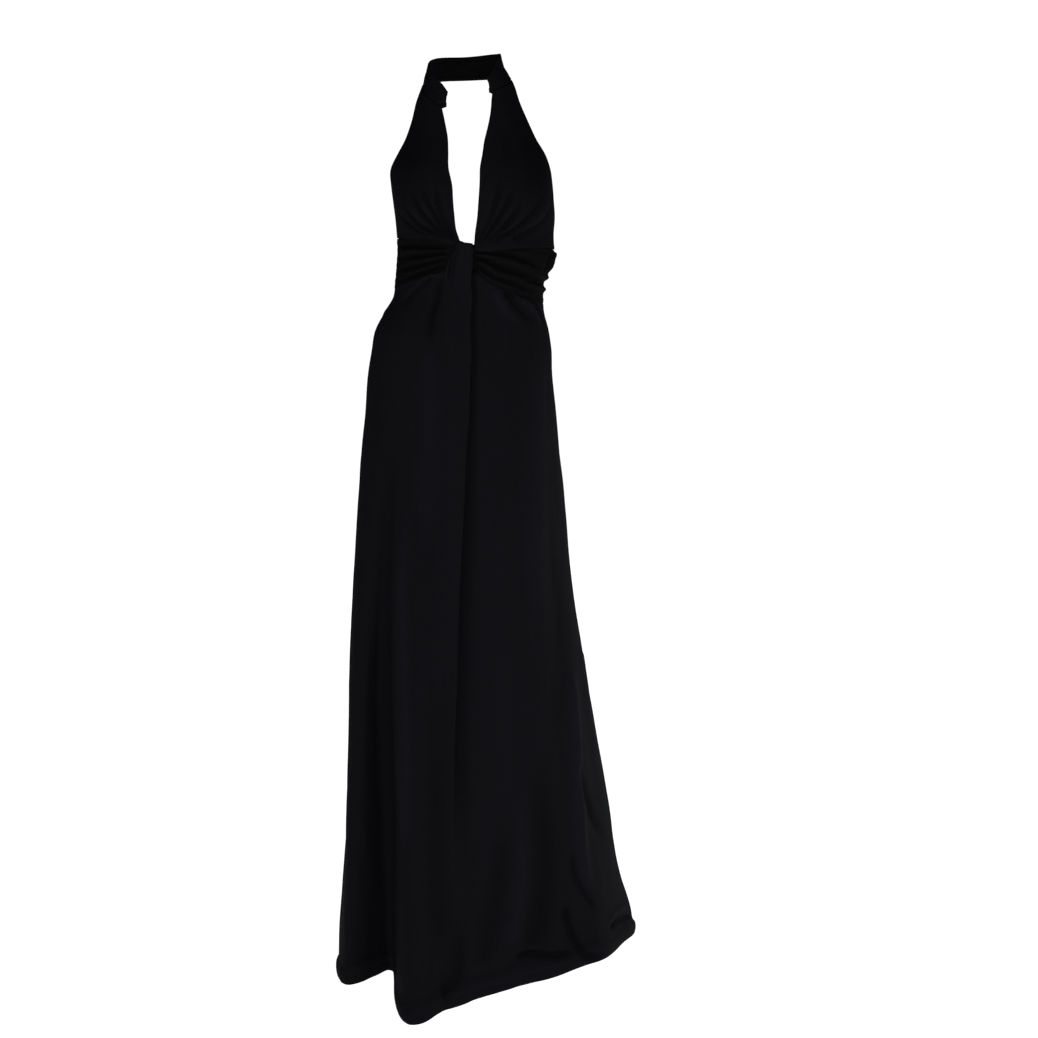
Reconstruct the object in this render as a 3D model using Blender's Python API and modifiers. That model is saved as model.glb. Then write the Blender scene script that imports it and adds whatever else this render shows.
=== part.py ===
"""A long halter dress in soft jersey, kept in its worn hollow shape. Metres, +Z up, front toward -Y.

The frame's origin is where the dress is held: on the neck's upright axis, at the height of the
neckband's middle. +X is the wearer's left. In the tables a height is measured up from the lowest
point of the hem, and an angle is in degrees round the body from the middle of the front, 0, to
the wearer's left, +90, and right, -90.
"""
import bpy
import numpy as np

# Sizes
HOLD_HEIGHT = 1.47
WALL = 0.0015
SEAM = 0.0006
GROWTH_START = 0.93
GROWTH_POWER = 1.3
BUST = dict(out=0.026, angle=38.0, spread=26.0, height=1.262, below=0.060, above=0.105)
PLEAT = dict(lift=0.009, overlap=0.0060, tab_roll=0.50, roll_depth=0.009, fade=35.0, drift_width=30.0)
GATHER = dict(depth=0.0022, count=5.5)
RUCHE = dict(depth=0.0022, count=3.5)

# The body's outline at each height: its left and right in x, its front and back in y
LEVELS = [
    # height, left, right, front, back
    (0.000, -0.2126, 0.2815, -0.1300, 0.2000),
    (0.076, -0.2101, 0.2749, -0.1300, 0.1920),
    (0.144, -0.2059, 0.2578, -0.1300, 0.1850),
    (0.281, -0.1976, 0.2338, -0.1290, 0.1720),
    (0.415, -0.1926, 0.2085, -0.1270, 0.1600),
    (0.548, -0.1877, 0.1883, -0.1240, 0.1490),
    (0.680, -0.1796, 0.1684, -0.1190, 0.1380),
    (0.809, -0.1701, 0.1567, -0.1140, 0.1280),
    (0.874, -0.1645, 0.1501, -0.1110, 0.1240),
    (0.938, -0.1574, 0.1451, -0.1080, 0.1190),
    (1.001, -0.1519, 0.1386, -0.1030, 0.1130),
    (1.033, -0.1468, 0.1375, -0.1000, 0.1070),
    (1.065, -0.1402, 0.1321, -0.0960, 0.0980),
    (1.090, -0.1273, 0.1257, -0.0920, 0.0910),
    (1.115, -0.1128, 0.1241, -0.0890, 0.0850),
    (1.140, -0.1085, 0.1265, -0.0880, 0.0810),
    (1.165, -0.1060, 0.1366, -0.0880, 0.0790),
    (1.190, -0.1042, 0.1413, -0.0900, 0.0790),
    (1.215, -0.1050, 0.1405, -0.0930, 0.0810),
    (1.240, -0.1065, 0.1410, -0.0960, 0.0830),
    (1.265, -0.1095, 0.1390, -0.0980, 0.0840),
    (1.290, -0.1125, 0.1375, -0.0970, 0.0820),
    (1.314, -0.1135, 0.1350, -0.0930, 0.0800),
    (1.337, -0.1045, 0.1290, -0.0860, 0.0770),
    (1.361, -0.0925, 0.1155, -0.0780, 0.0740),
    (1.389, -0.0820, 0.1015, -0.0690, 0.0720),
    (1.417, -0.0745, 0.0885, -0.0610, 0.0700),
    (1.446, -0.0635, 0.0780, -0.0550, 0.0680),
    (1.472, -0.0560, 0.0630, -0.0500, 0.0640),
    (1.500, -0.0520, 0.0560, -0.0470, 0.0600),
]

# The hem seen from above, once all round, from the right side seam
HEM = [
    # angle, x, y, height
    (-90.0, -0.2126, 0.0300, 0.002),
    (-80.0, -0.2110, -0.0220, 0.007),
    (-72.0, -0.2035, -0.0670, 0.013),
    (-65.0, -0.1900, -0.0880, 0.016),
    (-58.0, -0.1690, -0.0830, 0.019),
    (-52.0, -0.1460, -0.0640, 0.023),
    (-47.0, -0.1260, -0.0460, 0.026),
    (-43.0, -0.1135, -0.0550, 0.022),
    (-40.0, -0.1100, -0.0950, 0.014),
    (-37.0, -0.1080, -0.1400, 0.007),
    (-33.0, -0.1010, -0.1830, 0.002),
    (-28.0, -0.0860, -0.2090, 0.000),
    (-22.0, -0.0660, -0.2080, 0.001),
    (-14.0, -0.0460, -0.1920, 0.005),
    (-6.0, -0.0300, -0.1760, 0.008),
    (3.0, -0.0110, -0.1610, 0.010),
    (12.0, 0.0120, -0.1450, 0.012),
    (24.0, 0.0560, -0.1220, 0.018),
    (37.0, 0.1040, -0.1010, 0.023),
    (50.0, 0.1530, -0.0840, 0.033),
    (61.0, 0.1930, -0.0640, 0.039),
    (69.0, 0.2190, -0.0480, 0.042),
    (77.0, 0.2440, -0.0060, 0.041),
    (84.0, 0.2670, 0.0450, 0.041),
    (90.0, 0.2815, 0.0900, 0.036),
    (104.0, 0.2700, 0.1480, 0.022),
    (118.0, 0.2260, 0.1870, 0.010),
    (136.0, 0.1600, 0.1760, 0.004),
    (156.0, 0.0980, 0.2000, 0.000),
    (180.0, 0.0300, 0.1760, 0.000),
    (204.0, -0.0480, 0.1930, 0.000),
    (226.0, -0.1120, 0.1600, 0.000),
    (246.0, -0.1700, 0.1440, 0.000),
    (260.0, -0.2030, 0.0900, 0.000),
    (270.0, -0.2126, 0.0300, 0.002),
]

# The seam between the midriff and the bodice, and the one between the midriff and the skirt
MIDRIFF_TOP = [
    # angle, height
    (-180.0, 1.1920), (-126.0, 1.2060), (-90.0, 1.2075), (-50.0, 1.2070), (-30.0, 1.2065), (-20.0, 1.2000),
    (-10.0, 1.1930), (0.0, 1.1885), (8.0, 1.1875), (16.0, 1.1885), (26.0, 1.1905), (40.0, 1.1925),
    (60.0, 1.1925), (90.0, 1.1900), (126.0, 1.1930), (180.0, 1.1920),
]
MIDRIFF_FOOT = [
    # angle, height
    (-180.0, 1.1180), (-126.0, 1.1260), (-90.0, 1.1295), (-60.0, 1.1380), (-38.0, 1.1490), (-20.0, 1.1580),
    (0.0, 1.1610), (4.0, 1.1570), (8.0, 1.1500), (14.5, 1.1415), (26.0, 1.1310), (50.0, 1.1180), (90.0, 1.1060), (126.0, 1.1100), (180.0, 1.1180),
]

# The front drape that stands up out of the skirt's middle, over the midriff
TAB_TOP = [
    # angle, height
    (-19.0, 1.1580), (-16.8, 1.1640), (-15.6, 1.1740), (-13.6, 1.1850), (-11.0, 1.1950), (-9.6, 1.2015),
    (-8.0, 1.2040), (-5.0, 1.2020), (0.0, 1.1970),
]

# The pleat's crease down the skirt's front: where it lies, and how much of the pleat is left
CREASE = [
    # height, angle, fullness
    (0.000, -3.0, 0.00), (0.230, -2.4, 0.00), (0.330, -1.9, 0.30), (0.450, -0.9, 0.66), (0.600, 0.4, 0.88), (0.750, 2.0, 1.00),
    (0.900, 3.6, 1.00), (0.985, 5.2, 1.00), (1.050, 5.4, 1.00), (1.110, 2.8, 1.00), (1.160, -1.8, 1.00), (1.210, -3.4, 1.00),
]

# The deep fold down the skirt's front on the wearer's right: where its middle lies, and how deep it is
DEEP_FOLD = [
    # height, angle, depth
    (0.000, -48.0, 0.0000), (0.120, -48.4, 0.0000), (0.300, -48.2, 0.0080), (0.420, -48.2, 0.0110), (0.640, -47.0, 0.0110),
    (0.780, -45.6, 0.0070), (0.930, -45.0, 0.0000), (1.200, -45.0, 0.0000),
]
DEEP_FOLD_WIDTH = 8.0

# A cross cut of the pleat, folded and then drawn out to a plain step: how far along the cloth, in
# overlaps, and how far off the body, in lifts
PLEAT_CUT = [
    # folded along, folded lift, drawn along, drawn lift
    (-1.40, 1.00, -1.50, 1.00), (-0.40, 1.00, -0.75, 1.00), (0.20, 1.00, -0.25, 1.00), (0.50, 0.94, -0.20, 0.92),
    (0.62, 0.76, -0.15, 0.80), (0.50, 0.58, -0.10, 0.69), (0.20, 0.51, -0.05, 0.59), (-0.60, 0.50, 0.00, 0.50),
    (-1.40, 0.49, 0.05, 0.41), (-1.70, 0.42, 0.10, 0.31), (-1.82, 0.24, 0.15, 0.20), (-1.70, 0.06, 0.20, 0.08),
    (-1.40, 0.00, 0.25, 0.00), (-0.40, 0.00, 0.75, 0.00), (0.60, 0.00, 1.25, 0.00), (1.60, 0.00, 1.90, 0.00),
]

# The front columns' angles, on the wearer's right of the drape and on the left of it
RIGHT_COLUMNS = [-90.0, -84.0, -78.0, -72.0, -66.0, -60.0, -55.0, -50.0, -46.0, -43.0, -40.0, -37.0, -34.0, -30.5, -27.0, -24.0, -21.3]
TAB_COLUMNS = [-19.0, -16.8, -15.2, -13.4, -11.2, -9.4, -6.8]
LEFT_COLUMNS = [7.0, 10.0, 14.0, 19.0, 25.0, 31.0, 37.0, 44.0, 51.0, 58.0, 65.0, 72.0, 78.0, 84.0, 90.0]

# The bodice panels' two edges, from the neck down to the foot of the V
RIGHT_PANEL = [
    # edge at the V: angle, height; edge at the arm, the open back and the midriff: angle, height
    (-29.0, 1.4095, -84.0, 1.4440), (-24.5, 1.3880, -80.0, 1.4150), (-19.5, 1.3620, -77.0, 1.3780),
    (-16.6, 1.3370, -76.0, 1.3450), (-14.0, 1.3100, -83.0, 1.3140), (-12.4, 1.2870, -98.0, 1.2880),
    (-12.6, 1.2660, -113.0, 1.2620), (-13.0, 1.2480, -122.0, 1.2340), (-13.2, 1.2320, -126.0, 1.2060),
    (-12.8, 1.2200, -104.0, 1.2060), (-11.4, 1.2090, -76.0, 1.2060), (-9.0, 1.1900, -46.0, 1.2060),
]
LEFT_PANEL = [
    (31.0, 1.4320, 84.0, 1.4520), (25.0, 1.4060, 80.0, 1.4180), (18.0, 1.3800, 77.0, 1.3820),
    (11.0, 1.3500, 76.0, 1.3480), (8.0, 1.3200, 83.0, 1.3160), (6.6, 1.2930, 98.0, 1.2890),
    (5.0, 1.2690, 113.0, 1.2600), (3.4, 1.2490, 122.0, 1.2280), (2.0, 1.2310, 126.0, 1.1900),
    (1.0, 1.2180, 104.0, 1.1900), (0.2, 1.2050, 76.0, 1.1900), (-1.0, 1.1880, 46.0, 1.1900),
]

# The neckband's lower and upper edges, once round the back of the neck between its front ends
NECKBAND = [
    # angle, lower height, upper height
    (-23.5, 1.4125, 1.4300), (-29.0, 1.4103, 1.4370), (-45.0, 1.4200, 1.4520), (-62.0, 1.4305, 1.4640), (-84.0, 1.4448, 1.4760),
    (-120.0, 1.4560, 1.4870), (-180.0, 1.4620, 1.4920), (-240.0, 1.4610, 1.4940), (-276.0, 1.4528, 1.4900), (-300.0, 1.4440, 1.4790),
    (-318.0, 1.4370, 1.4640), (-329.0, 1.4328, 1.4550), (-333.0, 1.4345, 1.4520),
]


def through(at, rows, column):
    """A smooth curve through a column of a table: a cubic between each two rows, and its slope at a
    row is the mean of the slopes on both sides, weighted by the opposite interval."""
    table = np.asarray(rows, float)
    places, values = table[:, 0], table[:, column]
    gaps = np.diff(places)
    slopes = np.diff(values) / gaps
    inner = (slopes[:-1] * gaps[1:] + slopes[1:] * gaps[:-1]) / (gaps[1:] + gaps[:-1])
    tangent = np.concatenate(([slopes[0]], inner, [slopes[-1]]))
    i = np.clip(np.searchsorted(places, at) - 1, 0, len(gaps) - 1)
    t = np.clip((at - places[i]) / gaps[i], 0.0, 1.0)
    return (values[i] * (1 + 2 * t) * (1 - t) ** 2 + gaps[i] * tangent[i] * t * (1 - t) ** 2
            + values[i + 1] * t * t * (3 - 2 * t) - gaps[i] * tangent[i + 1] * t * t * (1 - t))


def straight(at, rows, column):
    """The table's column read along straight lines between its rows."""
    table = np.asarray(rows, float)
    return np.interp(at, table[:, 0], table[:, column])


def step(value):
    """0 to 1 with flat ends, as the value goes from 0 to 1: 3 t squared less 2 t cubed."""
    t = np.clip(value, 0.0, 1.0)
    return t * t * (3 - 2 * t)


def around(angle):
    """The angle brought into -180 to 180."""
    return (np.asarray(angle, float) + 180.0) % 360.0 - 180.0


def section(height):
    """The middle and the half size of the body's outline at a height, in x and in y."""
    left, right, front, back = (through(height, LEVELS, k) for k in (1, 2, 3, 4))
    return (left + right) / 2, (right - left) / 2, (front + back) / 2, (back - front) / 2


def hem_place(angle):
    """Where the hem runs at an angle, as x, y and height, from the hem's table taken as a closed ring."""
    ring = [(a - 360.0, x, y, h) for a, x, y, h in HEM[-5:-1]] + HEM + [(a + 360.0, x, y, h) for a, x, y, h in HEM[1:5]]
    turned = (np.asarray(angle, float) + 90.0) % 360.0 - 90.0
    return through(turned, ring, 1), through(turned, ring, 2), through(turned, ring, 3)


def outline(angle, height):
    """A point of the form: an ellipse at the top, x = middle + half sin, y = middle - half cos, that
    turns into the folded outline of the hem below the hip by a power of the distance below it."""
    mid_x, half_x, mid_y, half_y = section(height)
    base_x, base_w, base_y, base_d = section(np.zeros_like(height))
    hem_x, hem_y, _ = hem_place(angle)
    grown = np.clip((GROWTH_START - height) / GROWTH_START, 0.0, 1.0) ** GROWTH_POWER
    turn = np.radians(angle)
    across = (1 - grown) * np.sin(turn) + grown * (hem_x - base_x) / base_w
    ahead = (1 - grown) * -np.cos(turn) + grown * (hem_y - base_y) / base_d
    return mid_x + half_x * across, mid_y + half_y * ahead


def bust(angle, height):
    """How far the bust stands out: a bell over the angle on each side of the front times a cosine
    hump over the height, longer above than below."""
    side = np.exp(-((np.abs(around(angle)) - BUST["angle"]) / BUST["spread"]) ** 2)
    reach = np.where(height > BUST["height"], BUST["above"], BUST["below"])
    away = np.clip(np.abs(height - BUST["height"]) / reach, 0.0, 1.0)
    return BUST["out"] * side * 0.5 * (1 + np.cos(np.pi * away))


def form(angle, height, lift=0.0):
    """A point of the cloth at an angle and a height: the outline, moved out level and square to it by
    the bust and by the given lift. Heights come out measured from the hold."""
    angle, height = np.broadcast_arrays(np.asarray(angle, float), np.asarray(height, float))
    x, y = outline(angle, height)
    ahead, behind = outline(angle + 0.4, height), outline(angle - 0.4, height)
    along_x, along_y = ahead[0] - behind[0], ahead[1] - behind[1]
    length = np.hypot(along_x, along_y)
    out = bust(angle, height) + lift
    return np.stack((x + out * along_y / length, y - out * along_x / length, height - HOLD_HEIGHT), axis=-1)


def sheet(name, points, material, turned=False):
    """A closed wall from a grid of points, rows downwards and columns round the body: the grid's
    quads, thickened half to each side."""
    rows, columns = points.shape[:2]
    index = np.arange(rows * columns).reshape(rows, columns)
    quads = np.stack((index[:-1, :-1], index[1:, :-1], index[1:, 1:], index[:-1, 1:]), axis=-1).reshape(-1, 4)
    if turned:
        quads = quads[:, ::-1]
    mesh = bpy.data.meshes.new(name)
    mesh.from_pydata(points.reshape(-1, 3).tolist(), [], quads.tolist())
    mesh.update()
    piece = bpy.data.objects.new(name, mesh)
    collection.objects.link(piece)
    mesh.materials.append(material)
    mesh.shade_smooth()
    wall = piece.modifiers.new("wall", "SOLIDIFY")
    wall.thickness = WALL
    wall.offset = 0.0
    return piece


def cloth(name, tone):
    """Black jersey for one group of pieces."""
    material = bpy.data.materials.new(name)
    material.use_nodes = True
    shader = material.node_tree.nodes["Principled BSDF"]
    shader.inputs["Base Color"].default_value = (tone, tone, tone * 1.1, 1.0)
    shader.inputs["Roughness"].default_value = 0.85
    return material


def pleat_lift(angle, height):
    """How far the cloth on the wearer's right of the crease stands off: the pleat's lift, fading with
    the angle from the crease and with the pleat's fullness."""
    full = through(height, CREASE, 2)
    return PLEAT["lift"] * np.sqrt(np.clip(full, 0, 1)) * (1 - step((-angle - 3.0) / PLEAT["fade"]))


def crease_drift(place, height):
    """How many degrees the crease draws a column round at a height, less the further it is from it."""
    return through(height, CREASE, 1) * np.exp(-(place / PLEAT["drift_width"]) ** 2)


def deep_fold(angle, height):
    """How far the deep fold sinks in: its depth at the height times a bell of the angle from its middle."""
    away = (angle - through(height, DEEP_FOLD, 1)) / DEEP_FOLD_WIDTH
    return np.maximum(through(height, DEEP_FOLD, 2), 0.0) * np.exp(-away ** 2)


def skirt_front():
    """The front panel with its drape. Its columns go round from one side seam to the other; at the
    crease they run over, back under and on again by the pleat's cross cut, which opens out flat as the
    fullness goes. Each column falls from the top edge to the hem by a power of the row."""
    before = np.array(RIGHT_COLUMNS + TAB_COLUMNS)
    after = np.array(LEFT_COLUMNS)
    before[0] += SEAM_TURN
    after[-1] -= SEAM_TURN
    cut = np.asarray(PLEAT_CUT)
    steps = len(cut)
    flat = np.linspace(-4.0, 4.5, steps)
    own = np.concatenate((before, np.full(steps, np.nan), after))
    is_cut = np.isnan(own)
    place = own.copy()
    place[is_cut] = flat
    tab_top = straight(place, TAB_TOP, 1)
    at_seam = place + crease_drift(place, through(place, MIDRIFF_FOOT, 1))
    seam = through(at_seam, MIDRIFF_FOOT, 1) - SEAM / 2
    top = np.where((place > -20.0) & (place <= 0.0), tab_top, seam)
    under = np.linspace(0, 1, steps)
    fold_top = np.where(under < 0.27, straight(np.clip(flat, -21, 0), TAB_TOP, 1), 1.1990 - (1.1990 - 1.1560) * step((under - 0.27) / 0.40))
    top[is_cut] = fold_top
    rows = (np.linspace(0, 1, SKIRT_ROWS) ** 1.25)[:, None]
    _, _, hem_height = hem_place(place)
    height = top[None, :] + (hem_height - top)[None, :] * rows
    full = through(height, CREASE, 2)
    drift = crease_drift(place, height)
    angle = place + drift
    lift = pleat_lift(np.broadcast_to(place, height.shape), height)
    lift = np.where(place[None, :] > 4.5, 0.0, lift)
    full_cut = full[:, is_cut]
    fold = step((full_cut - 0.5) / 0.5)
    spread = 1 - step(full_cut / 0.5)
    along = fold * cut[:, 0] + (1 - fold) * cut[:, 2]
    narrow = np.degrees(along * PLEAT["overlap"] / section(height)[1][:, is_cut])
    angle[:, is_cut] = drift[:, is_cut] + (1 - spread) * narrow + spread * flat
    off = fold * cut[:, 1] + (1 - fold) * cut[:, 3]
    slope = np.clip(0.5 - flat / 8.5, 0, 1)
    lift[:, is_cut] = pleat_lift(-3.0, height[:, is_cut]) * ((1 - spread) * off + spread * slope)
    valley = -0.003 * np.exp(-((place[None, :] + 28.0) / 3.5) ** 2) * step((height - 1.04) / 0.05) * step((1.165 - height) / 0.03)
    below_top = (top[None, :] - height)
    roll = np.clip(1 - below_top / PLEAT["roll_depth"], 0, 1) ** 2
    standing = np.broadcast_to(((place > -20.5) & (place < 1.0))[None, :], height.shape)
    lift = np.where(standing, lift * (1 - PLEAT["tab_roll"] * roll), lift)
    return form(angle, height, lift + valley - deep_fold(angle, height))


def skirt_back():
    """The plain back panel, from the wearer's left side seam round to the right one."""
    angle = np.linspace(90.0 + SEAM_TURN, 270.0 - SEAM_TURN, 21)
    top = through(around(angle), MIDRIFF_FOOT, 1) - SEAM / 2
    _, _, hem_height = hem_place(angle)
    rows = (np.linspace(0, 1, SKIRT_ROWS) ** 1.25)[:, None]
    height = top + (hem_height - top) * rows
    return form(np.broadcast_to(angle, height.shape), height)


def midriff(angle, rows):
    """A part of the midriff with its columns at the given angles. Its ruches are waves over its height,
    so that they draw together where the band narrows toward the front drape, and fade at its seams and
    ends."""
    angle = np.asarray(angle, float)
    turned = around(angle)
    top = through(turned, MIDRIFF_TOP, 1) - SEAM / 2
    foot = through(turned, MIDRIFF_FOOT, 1) + SEAM / 2
    share = np.linspace(0, 1, rows)[:, None]
    height = top + (foot - top) * share
    wave = np.sin(2 * np.pi * RUCHE["count"] * share + 0.05 * angle + 0.8 * np.sin(np.radians(3 * angle)))
    edge = step(share / 0.15) * step((1 - share) / 0.15)
    side = step((100.0 - np.abs(turned)) / 30.0) * step((np.abs(turned) - 14.0) / 16.0)
    return form(np.broadcast_to(angle, height.shape), height, RUCHE["depth"] * wave * edge * side)


def midriff_seam(angle):
    """The height at which a bodice panel ends above the midriff."""
    return through(around(angle), MIDRIFF_TOP, 1) + SEAM / 2


def band_foot(angle):
    """The height at which a bodice panel ends below the neckband."""
    turned = np.asarray(angle, float)
    return through(np.where(turned > 0, 360.0 - turned, -turned), [(-a, low) for a, low, _ in NECKBAND], 1) - SEAM


def bodice(edges, columns, rows):
    """A halter panel between its two edges: rows run from the V's edge to the arm's, and lower down
    to the midriff's, so that the columns fan out from the foot of the V. The gathers are waves across
    the columns, deepest just above the foot."""
    table = np.asarray(edges)
    knots = np.linspace(0, 1, len(table))
    rows_at = 1 - (1 - np.linspace(0, 1, rows)) ** 1.15
    keyed = [(k, *row) for k, row in zip(knots, table)]
    inner_angle, inner_height, outer_angle, outer_height = (through(rows_at, keyed, c)[:, None] for c in (1, 2, 3, 4))
    outer_height = np.maximum(outer_height, midriff_seam(outer_angle))
    inner_height = np.maximum(inner_height, midriff_seam(inner_angle))
    across = np.linspace(0, 1, columns)[None, :]
    crowding = 0.55 * step((rows_at[:, None] - 0.5) / 0.5)
    crowded = across * (1 - crowding) + across ** 2 * crowding
    angle = inner_angle + (outer_angle - inner_angle) * crowded
    falling = 1 - (1 - crowded) ** (1 - 0.45 * step((rows_at[:, None] - 0.45) / 0.27))
    height = inner_height + (outer_height - inner_height) * falling
    for seam, share in ((band_foot, step(1 - rows_at / 0.22)), (midriff_seam, step((rows_at - 0.45) / 0.27))):
        ends = seam(inner_angle) + (seam(outer_angle) - seam(inner_angle)) * falling
        height = height + (seam(angle) - ends) * share[:, None]
    down = rows_at[:, None]
    strength = step((down - 0.45) / 0.35) * (1 - 0.8 * step((down - 0.9) / 0.1))
    rim = step(across / 0.08) * step((1 - across) / 0.12) * step((height - midriff_seam(angle)) / 0.020)
    wave = np.sin(2 * np.pi * GATHER["count"] * (across + 0.02 * np.sin(9 * across)) - 0.6)
    return form(angle, height, GATHER["depth"] * wave * strength * rim)


def neckband(columns, rows):
    """The band round the neck, between its lower and upper edge, on the same form as the panels."""
    turned = np.linspace(-23.5, -333.0, columns)
    key = [(-a, low, high) for a, low, high in NECKBAND]
    low = through(-turned, key, 1)
    high = through(-turned, key, 2)
    share = np.linspace(0, 1, rows)[:, None]
    height = high + (low - high) * share
    return form(np.broadcast_to(turned, height.shape), height)


for old in list(bpy.data.objects):
    bpy.data.objects.remove(old, do_unlink=True)
collection = bpy.data.collections.new("halter_dress")
bpy.context.scene.collection.children.link(collection)

SEAM_TURN = float(np.degrees(SEAM / 2 / 0.12))
SKIRT_ROWS = 22

bodice_cloth = cloth("bodice_jersey", 0.012)
midriff_cloth = cloth("midriff_jersey", 0.011)
skirt_cloth = cloth("skirt_jersey", 0.013)

sheet("skirt_front", skirt_front(), skirt_cloth)
sheet("skirt_back", skirt_back(), skirt_cloth)
sheet("midriff_right", midriff([-90.0 + SEAM_TURN] + RIGHT_COLUMNS[1:] + [-17.0, -12.5, -8.0], 15), midriff_cloth)
sheet("midriff_left", midriff([-3.5, 0.0, 4.0] + LEFT_COLUMNS[:-1] + [90.0 - SEAM_TURN], 15), midriff_cloth)
sheet("midriff_back", midriff(np.linspace(90.0 + SEAM_TURN, 270.0 - SEAM_TURN, 25), 5), midriff_cloth)
sheet("bodice_right", bodice(RIGHT_PANEL, 23, 18), bodice_cloth, turned=True)
sheet("bodice_left", bodice(LEFT_PANEL, 23, 18), bodice_cloth)
sheet("neckband", neckband(37, 4), bodice_cloth, turned=True)
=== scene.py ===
"""A long halter dress in black jersey, in its worn hollow shape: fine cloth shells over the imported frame.

Metres, +Z up, front toward -Y, +X the dress's own left. The origin is where the dress is held at the neck.
In the tables a height is measured up from the lowest point of the hem, and an angle is in degrees round
the body from the middle of the front, 0, to the dress's left, +90, and right, -90.
"""
import math

import bpy
import numpy as np
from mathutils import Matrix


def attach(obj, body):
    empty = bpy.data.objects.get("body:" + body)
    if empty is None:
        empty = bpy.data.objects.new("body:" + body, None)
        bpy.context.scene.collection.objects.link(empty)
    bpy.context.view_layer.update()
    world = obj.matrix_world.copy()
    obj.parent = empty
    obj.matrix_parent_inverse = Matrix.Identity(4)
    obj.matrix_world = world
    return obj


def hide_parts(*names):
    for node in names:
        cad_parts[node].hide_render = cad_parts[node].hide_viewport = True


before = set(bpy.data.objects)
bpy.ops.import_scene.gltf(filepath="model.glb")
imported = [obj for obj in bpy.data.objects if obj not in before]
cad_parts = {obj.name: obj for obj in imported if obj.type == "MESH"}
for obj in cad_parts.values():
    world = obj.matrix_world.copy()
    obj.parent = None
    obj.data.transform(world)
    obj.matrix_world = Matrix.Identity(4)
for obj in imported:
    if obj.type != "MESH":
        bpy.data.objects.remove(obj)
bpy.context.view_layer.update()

# Sizes of the form, as the solids have them
HOLD_HEIGHT = 1.47
GROWTH_START = 0.93
GROWTH_POWER = 1.3
BUST = dict(out=0.026, angle=38.0, spread=26.0, height=1.262, below=0.060, above=0.105)
PLEAT = dict(lift=0.0080, overlap=0.0060, fade=35.0, fade_start=3.0, drift_width=30.0)
DEEP_FOLD_WIDTH = 8.0
NUDGE = 0.4    # degrees to each side over which the form's direction is taken

# Sizes of the cloth and of its seams: how a seam's edge goes on after its roll is given as how far back
# from the seam, and how far in
CLOTH = 0.0010
EDGE_ROLL = 0.0007
SEAM_ROOM = 0.0006
SEAM_LAP = 0.0060
SEAM_ENDS = {
    "tucked": ((SEAM_ROOM, SEAM_ROOM), (0.0011, 0.0014)),
    "lapped": ((SEAM_ROOM, -SEAM_LAP), (0.0021, 0.0026)),
}
FACING = 0.0060
FACING_ROWS = (0.25, 0.6, 1.0)
WALE = 0.0011
COURSE = 0.0008

# The skirt front's columns: from the right side seam to the drape, over the drape, across the pleat's
# cross cut, and on to the left side seam
TO_DRAPE = (-90.0, -20.0, 92)
OVER_DRAPE = (-19.4, -4.6, 40)
CUT_SPAN = (-4.0, 4.5, 46)
TO_SIDE = (5.0, 90.0, 100)
FRONT_ROWS = 150
BACK_COLUMNS = (90.0, 270.0, 150)
BACK_ROWS = 120

# The shares of a skirt panel's rows that reach each share of its length, closer at its top and its hem
ROW_SHARES = [0.0, 0.27, 0.78, 0.93, 1.0]
LENGTH_SHARES = [0.0, 0.086, 0.900, 0.974, 1.0]

# The drape's top: its edge's angle, the degrees over which it comes to stand, the height of its roll, how
# far off the form it ends, and where its inner layer lies between the fold at its top and the seam
DRAPE = dict(edge=-19.0, rise=3.0, roll=0.0045, off=0.0014, top=1.1990, foot=1.1560, turn=0.27, down=0.40)
DRAPE_LAYERS = dict(rim=0.15, off=0.0012)
SKIRT_TUCK = 0.0013

# The hem: where it turns, its kick and the curl of its edge, and, over its turn, a painted highlight on the
# turn and a painted shade above it
HEM_TURN = 0.0220
HEM_KICK = dict(out=0.0042, above=0.005, over=0.008)
HEM_CURL = dict(back=0.0030, over=0.014)
HEM_PAINTED_HIGHLIGHT = dict(out=0.0042, width=0.0032)
HEM_PAINTED_SHADE = dict(depth=0.0012, height=0.035, width=0.007)

# The painted shade and highlight of the folds: the lift that counts as high, the deep fold's share of painted
# shade, and the painted shade beside the crease, with its reach in degrees at the top, how much wider it
# grows lower down, and from where
PAINTED_SHADE_DEPTH = 0.0035
DEEP_FOLD_SHADE = 0.16
PLEAT_SHADE = dict(depth=0.0045, full=0.6, layer=0.35, layer_over=0.25)
SHADE_REACH = dict(degrees=1.8, more=1.8, height=1.02, over=0.30)

# The shares of a fold's line over which it fades at its start and its end, and how much it starts with
FOLD_FADE = dict(start=0.12, left=0.15, end=0.35)

# The cloth's unevenness: its height, its seed, and its length round the body and up it, from which each
# of its waves departs by a factor within the spread
WAVE_SPREAD = (0.6, 1.8)
SKIRT_SWAY = dict(plain=0.0006, low=0.0022, hip=1.1, seed=11, across=0.11, along=1.30)
SKIRT_CRUMPLE = dict(out=0.0003, seed=12, across=0.035, along=0.16)
MIDRIFF_CRUMPLE = dict(out=0.0002, seed=21, across=0.02, along=0.02)
BODICE_CRUMPLE = dict(out=0.0005, across=0.05, along=0.12)
BAND_CRUMPLE = dict(out=0.0005, seed=31, across=0.045, along=0.03)

# The midriff's fine ruches: their number over its height, how they sway round it, and the plain rim
RUCHES = dict(count=6.5, sway=0.8, sway_rate=2.3, flutter=0.3, flutter_rate=7.1, drift=0.06, rim=0.07)

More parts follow.
